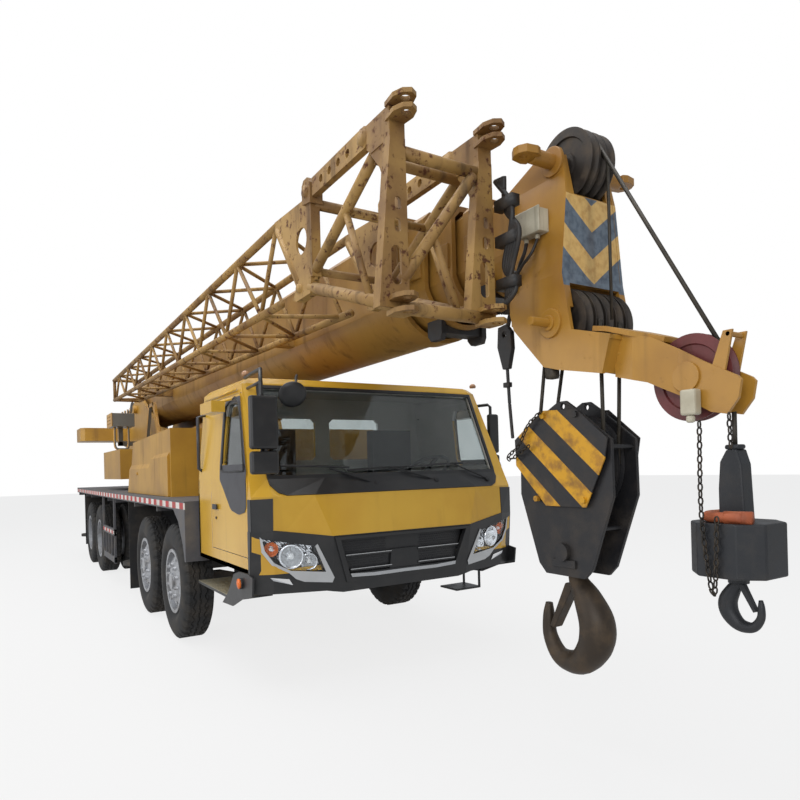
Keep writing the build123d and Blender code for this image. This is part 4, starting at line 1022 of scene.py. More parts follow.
bars = [rod(jib_node(chord, JIB_ROOT), jib_node(chord, JIB_END), radius) for chord, radius in
        (("T", 0.032), ("M", 0.032), ("B", 0.03), ("N", 0.03))]
behind = {"T": 0, "B": 0.37, "M": 0.5, "N": 1.01}       # joints behind the bay's first one
for start, end in (("T", "B"), ("T", "M"), ("B", "N"), ("M", "N")):
    for bay in range(BAYS):
        first = 0.14 - bay * BAY
        for shift in (0, BAY):
            xa, xb = first - behind[start], first - behind[end] + shift
            if min(xa, xb) > JIB_END + 0.04 and max(xa, xb) < JIB_ROOT:
                bars.append(rod(jib_node(start, xa), jib_node(end, xb), 0.017, 10))
bars += [rod(jib_node(start, JIB_END + 0.03), jib_node(end, JIB_END + 0.03), 0.026)
         for start, end in (("T", "B"), ("M", "N"), ("T", "M"), ("B", "N"))]
add("jib_lattice", together(*bars), jib_paint, "boom_1", True, replaces="stowed_jib")

bars, plates = [], []
for y in (JIB_OUT, JIB_IN):
    slots = [stadium(y + dy, low, high, half) for dy, low, high, half in
             ((-0.022, 2.59, 2.79, 0.03), (-0.01, 2.86, 2.93, 0.02), (-0.004, 2.975, 3.04, 0.02))]
    plates += [
        plate([(0.18, 3.47), (0.18, 3.4), (0.56, 2.9), (0.87, 2.88), (0.87, 3.44)], 1, y - 0.008,
              y + 0.008, [circle(0.655, 3.19, 0.088)]),
        brick((0.805, y - 0.032, 2.9), (0.875, y + 0.032, 3.44)),
        plate([(0.54, 2.82), (0.6, 2.795), (0.83, 2.8), (0.85, 2.9), (0.8, 3.01), (0.735, 3.01)],
              1, y - 0.03, y + 0.03),
        plate([(0.77, 3.38), (0.77, 3.5), (0.8, 3.53), (0.86, 3.53), (0.895, 3.49),
               (0.895, 3.36)], 1, y - 0.045, y + 0.045),
        plate([(0.905, 3.395), (1.6, 3.4), (1.645, 3.425), (1.662, 3.46), (1.645, 3.5),
               (1.6, 3.52), (0.905, 3.51)], 1, y - 0.034, y + 0.01,
              [circle(x, 3.456, 0.024, 16) for x in (1.04, 1.16, 1.28, 1.4)]),
        plate([(1.64, 3.37), (1.68, 3.335), (1.88, 3.335), (1.88, 3.5), (1.64, 3.5)], 1,
              y - 0.042, y + 0.05),
        plate([(1.66, 3.345), (1.85, 3.345), (1.85, 2.96), (1.815, 3.12), (1.76, 3.23)], 1,
              y - 0.036, y - 0.026),
        plate([(y - 0.042, 3.345), (y + 0.048, 3.345), (y + 0.052, 2.47), (y - 0.128, 2.47)], 0,
              1.873, 1.885, slots),
        plate([(y - 0.042, 3.345), (y - 0.03, 3.345), (y - 0.114, 2.47), (y - 0.128, 2.47)], 0,
              1.815, 1.874),
        plate([(y + 0.036, 3.345), (y + 0.048, 3.345), (y + 0.052, 2.47), (y + 0.04, 2.47)], 0,
              1.815, 1.874)]
    for lug_y, z in ((y, 3.474), (y - 0.02, 2.478)):
        ear = [(1.85, lug_y - 0.05), (1.95, lug_y - 0.062), (2.01, lug_y - 0.04), (2.035, lug_y),
               (2.01, lug_y + 0.042), (1.95, lug_y + 0.06), (1.85, lug_y + 0.05)]
        plates += [plate(ear, 2, low, low + 0.024, [circle(1.972, lug_y, 0.026, 16)])
                   for low in (z - 0.048, z + 0.024)]
    bars += [rod((x0, y, z0), (x1, y, z1), radius) for x0, z0, x1, z1, radius in
             ((0.23, 3.4, 0.6, 2.92, 0.022), (0.79, 2.85, 1.88, 2.48, 0.036),
              (1.65, 3.345, 0.82, 2.925, 0.032), (1.3, 3.165, 1.56, 2.6, 0.021))]
    bars += [pin((x, z), y - inward, y + outward, radius) for x, z, inward, outward, radius in
             ((0.665, 2.868, 0.048, 0.048, 0.03), (0.83, 3.448, 0.058, 0.058, 0.038),
              (1.59, 3.46, 0.05, 0.03, 0.044))]
bars += [pin((x, z), JIB_OUT, JIB_IN, radius) for x, z, radius in
         ((1.85, 3.29, 0.034), (1.65, 3.33, 0.03), (1.868, 2.48, 0.036), (1.3, 3.165, 0.024),
          (0.85, 3.37, 0.034), (0.842, 2.94, 0.025), (0.7, 2.85, 0.025))]
bars += [rod((1.86, JIB_IN - 0.07, 3.26), (1.86, JIB_OUT + 0.02, 2.62), 0.031),
         rod((1.86, -0.85, 2.9), (1.86, -0.69, 2.49), 0.02)]
for x in (-6.5, -1.3):
    upper, lower, inboard = jib_chord(x)
    plates.append(brick((x - 0.06, inboard, lower - 0.03), (x + 0.06, -0.33, lower + 0.09)))
add("jib_root_bars", together(*bars), jib_paint, "boom_1", True, replaces="stowed_jib")
add("jib_root_plates", together(*plates), jib_paint, "boom_1", bevel=0.003,
    replaces="stowed_jib")

# ---- Boom head -----------------------------------------------------------------------------------
# Welded head of the innermost section: ochre cheeks folded in above a crease, and on the front
# plate broad chevrons in sand yellow and slate, sprayed over tape.
LOWER, UPPER, ROOSTER = (2.105, 2.43), (2.09, 3.335), (2.8, 2.055)       # sheave axes, x and z
BOOM_MIDDLE = 3.02


def boom_line(width, height):
    """A section's outline in y and z: box with cut upper corners and a round belly."""
    half, roof = width / 2, BOOM_MIDDLE + height / 2
    drop = width * 0.36
    low, cut = BOOM_MIDDLE - height / 2, width * 0.08
    radius = (half ** 2 + drop ** 2) / (2 * drop)
    reach = math.asin(half / radius)
    t = np.linspace(reach, -reach, 19)
    belly = np.stack([radius * np.sin(t), low + radius - radius * np.cos(t)], -1)
    return [(-half, roof - cut), (-half + cut, roof), (half - cut, roof), (half, roof - cut),
            *map(tuple, belly)]


def sheave(point, radius, y, width=0.06):
    """A turned rope sheave across the vehicle: hub, sunk web and a grooved rim."""
    half = width / 2
    web, rim = radius - 0.036, radius + 0.018
    face = [(0, -half), (0.067, -half), (0.071, 0.01 - half), (web, 0.01 - half),
            (web + 0.006, -half), (rim, -half), (rim, 0.006 - half), (radius - 0.01, -0.009)]
    profile = face + [(r, -h) for r, h in face[::-1]]
    return copies(turned_shape(profile, 56), [(point[0], y, point[1])], (0, 1, 0))


def chevrons(finish, tone):
    """Bands along z - 0.78 |y| on faces that look forward."""
    x, y, z = finish.spot()
    slope = z - abs(y) * 0.78
    front = (finish.parts(finish.facing())[0] > 0.7) * (z > 2.62) * (z < 3.13) * (x > 2.15)
    slate = (slope < 2.652) + (slope > 2.794) * (slope < 2.943) + (slope > 3.09)
    worn = finish.step(finish.noise(24, 6), 0.3, 0.62)
    slate_tone = finish.mix(worn, colour(70, 82, 96), colour(100, 112, 124))
    sand_tone = finish.mix(worn, colour(196, 152, 84), colour(216, 178, 108))
    return finish.mix(front, tone, finish.mix(slate, sand_tone, slate_tone))


def cheek_y(x, z):
    """Half width of the head: 245 mm up to the crease, leaning in to 185 mm at z = 3.25."""
    return np.interp(z, [2.69, 3.25], [0.245, 0.185]) + 0 * x


head_paint = painted("head_paint", (176, 129, 48), (148, 104, 40), 0.18, 0.3, 0.4, 0.4,
                     pattern=chevrons)
cheek_line = [(1.7, 2.79), (1.8, 2.45), (1.895, 2.35), (2.04, 2.2), (2.15, 2.17), (2.45, 2.11),
              (2.508, 2.3), (2.25, 2.372), (2.196, 2.68), (2.196, 3.12), (2.165, 3.32),
              (2.14, 3.4), (2.03, 3.41), (1.95, 3.39), (1.7, 3.29)]
side_sheet = sheet(cheek_line, lambda x, z: -cheek_y(x, z), 1, -1,
                   creases=[[(1.6, 2.69), (2.6, 2.69)], [(1.6, 3.25), (2.6, 3.25)]])
add("head_cheeks", both(side_sheet), head_paint, "boom_5", thick=0.022, replaces="boom_head")


def face_x(y, z):
    """x of the front plate: a shallow lean below and above its upright middle."""
    return np.interp(z, [2.5, 2.69, 3.12, 3.4], [2.227, 2.194, 2.194, 2.135]) + 0 * y


face_line = [(-0.224, 2.5), (-0.198, 2.5), (-0.198, 2.635), (0.198, 2.635), (0.198, 2.5),
             (0.224, 2.5), (0.224, 2.69), (0.179, 3.12), (0.165, 3.3), (0.165, 3.36), (0.13, 3.37),
             (0.13, 3.135), (-0.13, 3.135), (-0.13, 3.37), (-0.165, 3.36), (-0.165, 3.3),
             (-0.179, 3.12), (-0.224, 2.69)]
face = sheet(face_line, face_x, 0, 1, creases=[[(-0.3, z), (0.3, z)] for z in (2.69, 3.12)])
add("head_face", face, head_paint, "boom_5", thick=0.022, replaces="boom_head")
lip = [(2.15, 2.19), (2.44, 2.13), (2.49, 2.285), (2.345, 2.32), (2.345, 2.345), (2.25, 2.355),
       (2.205, 2.33)]
plates = [plate([(-0.225, 2.48), (0.225, 2.48), (0.225, 2.83), (-0.225, 2.83)], 0, 1.76, 1.79,
                [[(-0.11, 2.5), (0.11, 2.5), (0.11, 2.66), (-0.11, 2.66)]]),
          brick((1.7, -0.175, 2.8), (1.74, 0.175, 3.25)),
          plate(lip, 1, -0.223, -0.205), plate(lip, 1, 0.205, 0.223),
          plate([(2.43, 2.14), (2.45, 2.112), (2.506, 2.3), (2.48, 2.28)], 1, -0.24, 0.24),
          plate([(2.345, 2.318), (2.506, 2.276), (2.506, 2.3), (2.345, 2.34)], 1, -0.24, 0.24)]
bars = []
for side in (-1, 1):
    bars += [pin(axis, side * start, side * end, radius) for axis, start, end, radius in
             ((UPPER, 0.175, 0.199, 0.082), (LOWER, 0.24, 0.261, 0.08),
              (UPPER, 0.19, 0.345, 0.042), (LOWER, 0.25, 0.4, 0.024),
              (LOWER, 0.25, 0.275, 0.042))]
    x, z = UPPER
    ear = [(x + dx, side * y) for dx, y in ((-0.06, 0.33), (-0.072, 0.36), (-0.06, 0.43),
                                            (-0.02, 0.455), (0.02, 0.455), (0.06, 0.43),
                                            (0.072, 0.36), (0.06, 0.33))]
    plates.append(plate(ear, 2, z - 0.022, z + 0.022, [circle(x, side * 0.405, 0.02, 14)]))
add("head_bosses", together(*bars), head_paint, "boom_5", bevel=0.004, replaces="boom_head")
add("head_webs", together(*plates), head_paint, "boom_5", bevel=0.003, replaces="boom_head")

arm_line = [(2.46, 2.095), (2.622, 2.05), (2.754, 1.976), (2.92, 1.88), (2.998, 1.864),
            (3.052, 1.931), (3.067, 2.01), (3.05, 2.03), (2.887, 2.118), (2.645, 2.269),
            (2.46, 2.32)]


def arm_y(x, z):
    """Half width between the rooster arms' outer faces at x."""
    return np.interp(x, [2.34, 2.56, 2.76, 3.1], [0.165, 0.15, 0.066, 0.066]) + 0 * z


arm = sheet(arm_line, lambda x, z: -arm_y(x, z), 1, -1,
            creases=[[(x, 1.8), (x, 2.5)] for x in (2.56, 2.76)])
add("rooster_arms", both(arm), head_paint, "boom_5", thick=0.018, replaces="boom_head")
lid = [(2.346, 0.185), (2.47, 0.185), (2.56, 0.165), (2.69, 0.066)]
lid_top = sheet(whole_plan(lid),
                lambda x, y: np.interp(x, [2.3, 2.43, 2.7], [2.386, 2.358, 2.264]), 2, 1,
                creases=[[(2.43, -0.3), (2.43, 0.3)]])
add("rooster_lid", lid_top, head_paint, "boom_5", thick=0.026, replaces="boom_head")
pieces = [plate([(2.425, 2.12), (2.48, 2.31), (2.505, 2.305), (2.45, 2.115)], 1, -0.165, 0.165)]
bars = [pin((3.008, 2.222), -0.062, 0.062, 0.012)]
for side in (-1, 1):
    pieces.append(plate([(2.925, 2.08), (2.985, 2.24), (3.03, 2.24), (2.99, 2.06)], 1,
                        side * 0.048, side * 0.062))
    bars += [pin(ROOSTER, side * 0.05, side * 0.078, 0.072),
             rod((2.44, side * 0.158, 2.222), (2.61, side * 0.118, 2.18), 0.01)]
add("rooster_parts", together(*pieces, *bars), head_paint, "boom_5", bevel=0.002,
    replaces="boom_head")

inner_line = np.array(boom_line(0.434, 0.49))
rings = [np.insert(inner_line, 0, x, 1) for x in (-8.0, 1.77)]
inner_tube = (np.vstack(rings), grid_faces(2, len(inner_line), False, True).tolist())
add("boom_inner", inner_tube, head_paint, "boom_5", thick=0.014, replaces="boom_head")

sheave_iron = dark("sheave_iron", (52, 47, 43), (104, 90, 74), 0.5, 0.5, 0.5, 2)
maroon = painted("maroon_sheave", (104, 46, 46), (84, 38, 38), 0.2, 0.2, 0.3, 0.5, 3)
rows_of = [sheave(LOWER, 0.182, y) for y in (-0.16, -0.08, 0, 0.08, 0.16)]
rows_of += [sheave(UPPER, 0.185, y) for y in (-0.062, 0, 0.062)]
rows_of += [pin(LOWER, -0.25, 0.25, 0.045), pin(UPPER, -0.185, 0.185, 0.045),
            pin(ROOSTER, -0.07, 0.07, 0.045)]
add("sheave_rows", together(*rows_of), sheave_iron, "boom_5", replaces="head_sheaves")
add("rooster_sheave", sheave(ROOSTER, 0.19, 0), maroon, "boom_5", replaces="head_sheaves")

# ---- Hook block ----------------------------------------------------------------------------------
# Steel cheeks in worn black paint. Guard plates stand off them, sprayed in yellow and black
# bars; the forged hook below is bare, brown with oil and rust.
BLOCK = BLOCK_X, BLOCK_Z = 2.025, 1.65           # axis of the block's sheaves


def warning_bars(finish, tone):
    """Bars 135 mm wide along 0.82 x + z on the guard plates."""
    x, y, z = finish.spot()
    guard = (abs(y) > 0.1245) * (z > 1.41)
    bar = (x * 0.82 + z + 20).maths("MODULO", 0.27) < 0.135
    worn = finish.step(finish.noise(16, 7), 0.42, 0.68)
    yellow = finish.mix(worn, colour(206, 152, 30), colour(170, 120, 36))
    return finish.mix(guard * bar, tone, yellow)


def forged(x, neck, size, side):
    """A forged hook: round sections that swell along the curve from neck through bowl to tip."""
    line = np.array(((0, 0.5, 0.25), (0, 0.05, 0.25), (0.32, -0.42, 0.37), (0.6, -1.02, 0.46),
                     (0.5, -1.6, 0.44), (0, -2.1, 0.34), (-0.68, -2.12, 0.25),
                     (-1.07, -1.65, 0.2), (-1.12, -1.1, 0.17), (-1.1, -0.72, 0.1)))
    rows = bend(line, 6)
    path = np.stack([x + side * rows[:, 0] * size, np.zeros(len(rows)),
                     neck + rows[:, 1] * size], -1)
    return tube(path, rows[:, 2] * size, 20)


def latch(x, neck, size, side):
    """Sprung flap that closes the throat, from the neck to the tip."""
    upper = (x - side * 0.02 * size, neck - 0.05 * size)
    lower = (x - side * 0.93 * size, neck - 1.3 * size)
    return plate([upper, (upper[0] - side * 0.3 * size, upper[1]), lower,
                  (lower[0] + side * 0.14 * size, lower[1] - 0.05 * size)], 1, -0.16 * size,
                 0.16 * size)


block_paint = dark("block_paint", (32, 32, 35), (78, 70, 62), 0.5, 0.2, 0.45, 1.6,
                   pattern=warning_bars)
cheek = [(BLOCK_X + dx, z) for dx, z in
         ((-0.1, 1.975), (-0.345, 1.785), (-0.35, 1.48), (-0.205, 1.075), (-0.15, 1.02),
          (0.15, 1.02), (0.205, 1.075), (0.36, 1.48), (0.355, 1.785), (0.1, 1.975),
          (0.04, 2.015), (-0.02, 2.015))]
guard = [(BLOCK_X + dx, z) for dx, z in
         ((-0.125, 1.972), (-0.365, 1.812), (-0.358, 1.655), (-0.11, 1.418), (0.195, 1.418),
          (0.332, 1.68), (0.352, 1.79), (0.142, 1.96))]
plates = [brick((BLOCK_X - 0.095, -0.09, 1.085), (BLOCK_X + 0.095, 0.09, 1.225))]
bars = [pin(BLOCK, -0.12, 0.12, 0.045)]
for side in (-1, 1):
    plates += [plate(cheek, 1, side * 0.088, side * 0.108,
                     [circle(BLOCK_X + 0.015, 1.985, 0.016, 12)]),
               plate(guard, 1, side * 0.126, side * 0.136),
               brick((BLOCK_X - 0.09, side * 0.106, 1.07), (BLOCK_X + 0.09, side * 0.122, 1.114))]
    bars += [pin((BLOCK_X + dx, z), side * 0.1, side * 0.152, 0.018, 6)
             for dx, z in ((-0.11, 1.94), (0.14, 1.93), (-0.18, 1.458), (0.185, 1.458))]
    bars.append(pin((BLOCK_X, 1.157), side * 0.1, side * 0.14, 0.052))
bars += [pin((BLOCK_X + dx, z), -0.1, 0.1, 0.012, 12)
         for dx, z in ((0.33, 1.745), (-0.33, 1.745), (0.24, 1.3), (-0.24, 1.3))]
bars += [sheave(BLOCK, 0.27, y, 0.052) for y in (-0.057, 0, 0.057)]
add("block_plates", together(*plates), block_paint, "main_hook_block", bevel=0.003,
    replaces="hook_block")
add("block_sheaves", together(*bars), block_paint, "main_hook_block", replaces="hook_block")
rope_steel = dark("rope_steel", (58, 54, 48), (96, 88, 74), 0.5, 0.5, 0.4, 3)
falls = [rod((BLOCK_X + side * 0.264, y, BLOCK_Z), (LOWER[0] + side * 0.196, y * 1.4, LOWER[1]),
             0.011, 10) for side in (-1, 1) for y in (-0.057, 0.057)]
add("rope_falls", together(*falls), rope_steel, "main_hook_block", True, replaces="hook_block")
cast = dark("forged_hook", (56, 47, 38), (96, 80, 62), 0.48, 0.45, 0.6, 2)
NECK, HOOK_SIZE = 0.975, 0.22
add("block_hook", forged(BLOCK_X, NECK, HOOK_SIZE, 1), cast, "main_hook_block", True,
    replaces="main_hook")
add("block_latch", latch(BLOCK_X, NECK, HOOK_SIZE, 1), cast, "main_hook_block", bevel=0.006,
    replaces="main_hook")

# ---- Small hook ----------------------------------------------------------------------------------
# Eight-sided cast weight under its wedge socket, with a small forged hook below, all black. A
# bow shackle in red lead paint lies on the weight.
weight_paint = dark("weight_paint", (36, 38, 42), (72, 68, 64), 0.5, 0.2, 0.4, 2)
AUX_X, AUX_NECK, AUX_SIZE = 2.992, 1.1, 0.09
weight = plate([(AUX_X + dx, y) for dx, y in
                ((-0.178, -0.085), (-0.09, -0.172), (0.09, -0.172), (0.178, -0.085),
                 (0.178, 0.085), (0.09, 0.172), (-0.09, 0.172), (-0.178, 0.085))], 2, 1.14, 1.38)
socket = plate([(AUX_X + dx, z) for dx, z in
                ((-0.052, 1.65), (-0.02, 1.705), (0.03, 1.705), (0.05, 1.64), (0.062, 1.375),
                 (-0.062, 1.375), (-0.062, 1.53))], 1, -0.042, 0.042)
cap = copies(turned_shape(((0, -0.011), (0.042, -0.011), (0.042, 0.011), (0, 0.011)), 24),
             [(AUX_X, 0, 1.716)])
add("aux_weight", together(weight, socket, cap), weight_paint, "aux_hook_block", bevel=0.008,
    replaces="aux_hook")
add("aux_forging", together(forged(AUX_X, AUX_NECK, AUX_SIZE, -1),
                            rod((AUX_X, 0, AUX_NECK), (AUX_X, 0, 1.145), 0.045)),
    weight_paint, "aux_hook_block", True, replaces="aux_hook")
add("aux_latch", latch(AUX_X, AUX_NECK, AUX_SIZE, -1), weight_paint, "aux_hook_block",
    replaces="aux_hook")
add("aux_rope", rod((AUX_X, 0, 1.7), (AUX_X, 0, 1.875), 0.011, 10), rope_steel,
    "aux_hook_block", True, replaces="aux_hook")
red_lead = painted("red_lead", (176, 92, 52), (150, 76, 46), 0.2, 0.2, 0.3, 0.6, 3)
bow = bend([(AUX_X + dx, y, z) for dx, y, z in
            ((-0.05, 0.075, 1.408), (-0.095, 0.0, 1.405), (-0.085, -0.09, 1.405),
             (-0.02, -0.135, 1.405), (0.1, -0.125, 1.405))], 5)
bow_pin = rod((AUX_X + 0.02, -0.13, 1.404), (AUX_X + 0.13, -0.1, 1.404), 0.03)
add("bow_shackle", together(tube(bow, 0.024, 14), bow_pin), red_lead, "aux_hook_block", True,
    replaces="aux_hook")

# ---- Slide pads ----------------------------------------------------------------------------------
# Carriers of the boom's slide pads, bolted round each mouth: blocks in the boom's coat at the
# sides and on top and, in black, two plates with a bridge under the belly.
pad_iron = dark("pad_iron", (30, 29, 30), (74, 62, 50), 0.5, 0.2, 0.5, 2)
for number, width, height, mouth, drop in ((2, 0.64, 0.742, 1.02, 0.1),
                                           (3, 0.566, 0.65, 1.29, 0.0),
                                           (4, 0.498, 0.566, 1.56, 0.035)):
    x0, x1 = mouth - 0.165, mouth - 0.03
    roof, belly = BOOM_MIDDLE + height / 2, BOOM_MIDDLE - height / 2
    side_pads, low_pads = [], [brick((x0, -0.16, belly - 0.5 * drop), (x1, 0.16, belly + 0.012))]
    hanger = [(x0 - 0.02, belly + 0.13), (x0 - 0.02, belly - 0.6 * drop), (x0 + 0.02, belly - drop),
              (x1, belly - drop), (x1 + 0.02, belly - 0.6 * drop), (x1 + 0.02, belly + 0.13)]
    for side in (-1, 1):
        side_pads += [brick((x0, side * (width / 2 - 0.004), 2.96),
                            (x1, side * (width / 2 + 0.036), 3.12)),
                      brick((x0, side * width * 0.2, roof - 0.004),
                            (x1, side * width * 0.36, roof + 0.038))]
        low_pads.append(plate(hanger, 1, side * 0.157, side * 0.2))
    add(f"pads_{number}", together(*side_pads), boom_paint, f"boom_{number}", bevel=0.004)
    if drop:
        add(f"pads_under_{number}", together(*low_pads), pad_iron, f"boom_{number}", bevel=0.004)

# ---- Head dressing -------------------------------------------------------------------------------
# Grey-white junction box with its cables, the hoist rope over the top and rooster sheaves, hoses
# tied to the inner jib post, and the limit switch on the rooster arms.
cream = painted("box_enamel", (196, 190, 170), (168, 160, 138), 0.15, 0.2, 0.5, 0.5, 3)
hose = dark("cable_black", (26, 25, 25), (66, 54, 42), 0.5, grime=0.5, scale=3)
add("junction_box", together(brick((1.90, -0.292, 2.945), (2.08, -0.215, 3.075)),
                             brick((1.893, -0.3, 2.94), (2.087, -0.286, 3.083)),
                             rod((1.94, -0.255, 2.945), (1.94, -0.255, 2.915), 0.014),
                             rod((2.03, -0.255, 2.945), (2.03, -0.255, 2.915), 0.014)),
    cream, "boom_5", bevel=0.006)
cables = [tube(bend(line), radius, 8) for line, radius in
          (([(1.94, -0.255, 2.92), (1.935, -0.27, 2.86), (1.9, -0.275, 2.8),
             (1.86, -0.262, 2.74), (1.83, -0.256, 2.66)], 0.011),
           ([(2.03, -0.255, 2.92), (2.01, -0.285, 2.84), (1.94, -0.29, 2.79),
             (1.87, -0.268, 2.77), (1.78, -0.26, 2.82)], 0.009),
           ([(1.9, -0.262, 3.0), (1.86, -0.27, 3.03), (1.82, -0.262, 2.97),
             (1.79, -0.256, 2.86)], 0.008))]
add("junction_cables", together(*cables), hose, "boom_5", True)
add("head_ropes", together(rod((2.247, 0, 3.422), (2.962, 0, 2.145), 0.011, 10),
                           rod((2.29, 0.03, 3.33), (2.30, 0.02, 2.44), 0.009, 8)),
    rope_steel, "boom_5", True)
add("limit_switch", together(brick((2.80, -0.125, 1.87), (2.88, -0.07, 1.99)),
                             rod((2.84, -0.1, 1.87), (2.84, -0.1, 1.835), 0.02)), cream,
    "boom_5", bevel=0.01)
strands = []
for number in range(5):
    off = 0.018 * (number - 2)
    line = [(1.93 + off, -0.435, 3.25), (1.98 - off, -0.42 + 0.3 * off, 3.08),
            (2.03 + off, -0.425, 2.93), (1.97 + off, -0.42, 2.76), (2.0 - off, -0.43, 2.62),
            (1.93, -0.44 + off, 2.5)]
    strands.append(tube(bend(line), 0.015, 8))
strands += [brick((1.9, -0.455, z - 0.03), (2.05, -0.40, z + 0.03)) for z in (3.1, 2.9, 2.66)]
add("jib_hoses", together(*strands), hose, "boom_1", True)

# ---- Rigging of the hook block -------------------------------------------------------------------
# Wedge socket with its pinned rope end, the weight of the hoist limit switch, and short galvanised
# chains that hang from the cheeks and beside the small hook.


def chain(points, pitch=0.031):
    """Oval links 44 x 29 mm set end to end along a curve, every second one turned a quarter."""
    path = bend(points, 40)
    length = np.concatenate([[0], np.cumsum(np.linalg.norm(np.diff(path, axis=0), axis=1))])
    stations = np.arange(pitch / 2, length[-1], pitch)
    centres = np.stack([np.interp(stations, length, path[:, n]) for n in range(3)], -1)
    axes = np.gradient(centres, axis=0)
    a = np.linspace(0, 2 * np.pi, 9, endpoint=False)
    flat = np.stack([0.0105 * np.cos(a), 0 * a, 0.018 * np.sin(a)], -1)
    turned = flat[:, [1, 0, 2]]
    return together(*[copies(tube(oval, 0.0042, 5, True), centres[first::2], axes[first::2])
                      for first, oval in ((0, flat), (1, turned))])


chain_steel = dark("chain_steel", (50, 46, 42), (92, 78, 62), 0.45, 0.6, 0.5, 4)
add("block_chain", chain([(1.932, -0.165, 1.967), (1.82, -0.168, 1.894), (1.737, -0.17, 1.779),
                          (1.634, -0.17, 1.71), (1.68, -0.17, 1.702), (1.824, -0.168, 1.77)]),
    chain_steel, "main_hook_block", True)
add("small_chains", together(chain([(2.942, -0.19, 1.835), (2.942, -0.19, 1.394),
                                    (2.99, -0.19, 1.069), (3.014, -0.19, 1.416)]),
                             chain([(3.015, -0.08, 1.866), (3.02, -0.08, 1.70)])),
    chain_steel, "aux_hook_block", True)
socket_line = [(1.63, 2.5), (1.70, 2.51), (1.745, 2.46), (1.75, 2.36), (1.715, 2.24),
               (1.665, 2.24), (1.62, 2.38)]
add("wedge_socket", together(plate(socket_line, 1, -0.222, -0.19, [circle(1.685, 2.45, 0.018, 14)]),
                             rod((1.685, -0.205, 2.45), (1.745, -0.205, 2.60), 0.014, 10),
                             rod((1.69, -0.205, 2.25), (1.70, -0.203, 2.03), 0.01, 10),
                             rod((1.70, -0.203, 2.03), (1.72, -0.203, 1.82), 0.01, 10),
                             brick((1.665, -0.222, 2.13), (1.715, -0.19, 2.16))),
    pad_iron, "boom_5", bevel=0.004)
add("limit_weight", together(copies(turned_shape(((0, 0), (0.036, 0.006), (0.04, 0.02),
                                                  (0.04, 0.085), (0.03, 0.1), (0, 0.104)), 20),
                                    [(2.06, -0.2, 2.13)]),
                             rod((2.06, -0.2, 2.23), (2.06, -0.22, 2.33), 0.004, 6)),
    rope_steel, "boom_5", True)

# ---- Right side of the turntable -----------------------------------------------------------------
# Valve box on an arm, its pipes, and two leaning posts with a rail across them, welded up from
# sheet and tube in the same coat as the operator's cab.
slots = [[(x0, z - 0.008), (x0 + 0.17, z - 0.008), (x0 + 0.17, z + 0.008), (x0, z + 0.008)]
         for z in (2.56, 2.62, 2.68) for x0 in (-8.02, -7.79)]
lid_line = [(-8.1, 2.5), (-7.5, 2.5), (-7.5, 2.74), (-8.1, 2.74)]
gear = [plate(lid_line, 1, -1.152, -1.138, slots),
        brick((-8.09, -1.14, 2.505), (-7.51, -0.78, 2.735)),
        brick((-7.95, -1.0, 2.18), (-7.85, -0.44, 2.26)),
        brick((-7.95, -1.0, 2.18), (-7.85, -0.92, 2.51)),
        brick((-7.185, -0.61, 2.8), (-6.745, -0.56, 2.87))]
for top, foot in ((-7.13, -7.56), (-6.8, -6.44)):
    gear.append(plate([(top - 0.055, 2.87), (top + 0.055, 2.87), (foot + 0.055, 2.15),
                       (foot - 0.055, 2.15)], 1, -0.61, -0.56))
gear.append(brick((-7.6, -0.61, 2.15), (-6.4, -0.44, 2.21)))
add("valve_box", together(*gear), room_paint, "turntable", bevel=0.006)
loop = bend([(-7.56, -1.1, 2.5), (-7.56, -1.1, 2.2), (-7.56, -1.07, 2.12), (-7.56, -0.99, 2.11),
             (-7.56, -0.91, 2.12), (-7.56, -0.88, 2.2), (-7.56, -0.88, 2.5)], 5)
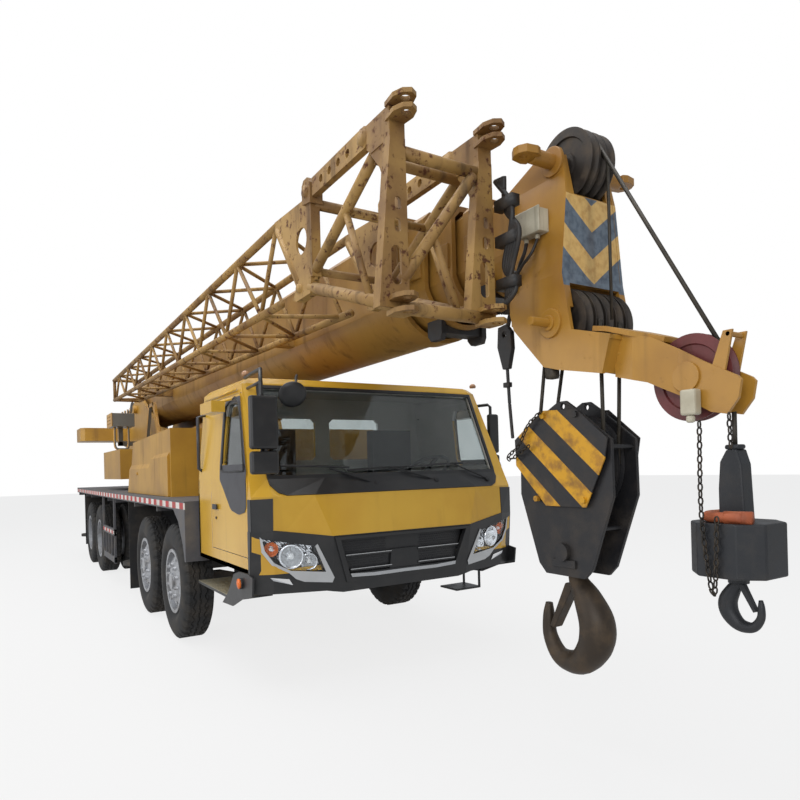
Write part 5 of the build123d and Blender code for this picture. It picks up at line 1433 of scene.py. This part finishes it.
stubs = [(-8.0 + 0.03 * n, -0.9 + 0.04 * n, 2.8 + 0.02 * n) for n in range(4)]
pipes = [rod((x, y, 2.73), (x, y, top), 0.016, 10) for x, y, top in stubs]
add("valve_pipes", together(tube(loop, 0.02, 10), *pipes), room_paint, "turntable", True)

# ---- Guards and covers of the carrier ------------------------------------------------------------
# Stepped panels on the hood's sides with a latch, rubber mudflaps, and the tube and plate guards
# that keep people from falling under the wheels.
lower = [(-2.648, 1.412), (-2.648, 1.9), (-3.42, 1.885), (-3.65, 1.795), (-5.04, 1.79),
         (-5.19, 1.412)]
upper = [(-2.648, 1.412), (-2.648, 1.852), (-3.52, 1.838), (-3.69, 1.738), (-5.04, 1.73),
         (-5.19, 1.412)]
rims = np.array([[(x, -y, z) for x, z in line] for line, y in ((lower, 1.249), (upper, 1.277))])
panel = (rims.reshape(-1, 3),
         grid_faces(2, 6, False, True).tolist() + [[0, 1, 2, 3, 4, 5], [6, 7, 8, 9, 10, 11]])
handle = brick((-4.52, -1.29, 1.655), (-4.42, -1.272, 1.69))
add("hood_panels", both(together(panel, handle)), hood_paint, "carrier", bevel=0.004)
guard = [brick((-7.14, -1.372, low), (-5.93, -1.34, high)) for low, high in
         ((0.745, 0.85), (0.34, 0.43))]
guard += [brick((x, -1.372, 0.33), (x + 0.04, -1.34, 1.31)) for x in (-7.14, -5.97)]
guard += [brick((x, -1.372, 0.42), (x + 0.03, -1.34, 0.75)) for x in (-6.85, -6.56, -6.27)]
add("side_guards", both(together(*guard)), deck_paint, "carrier", bevel=0.004)
flaps = together(brick((-4.615, -1.37, 0.15), (-4.6, -0.96, 1.39)),
                 brick((-9.76, -1.37, 0.3), (-9.745, -0.96, 1.39)))
add("mudflaps", both(flaps), rubber, "carrier", bevel=0.003)

# ---- Outriggers ----------------------------------------------------------------------------------
# Welded box beams in black paint that slide out below the deck, and the forged floats of their
# jacks, greyed by road dust.
for side in ("left", "right"):
    for place in ("front", "rear"):
        coat(black_paint, f"outrigger_beam_{place}_{side}")
        coat(road_paint, f"outrigger_float_{place}_{side}")
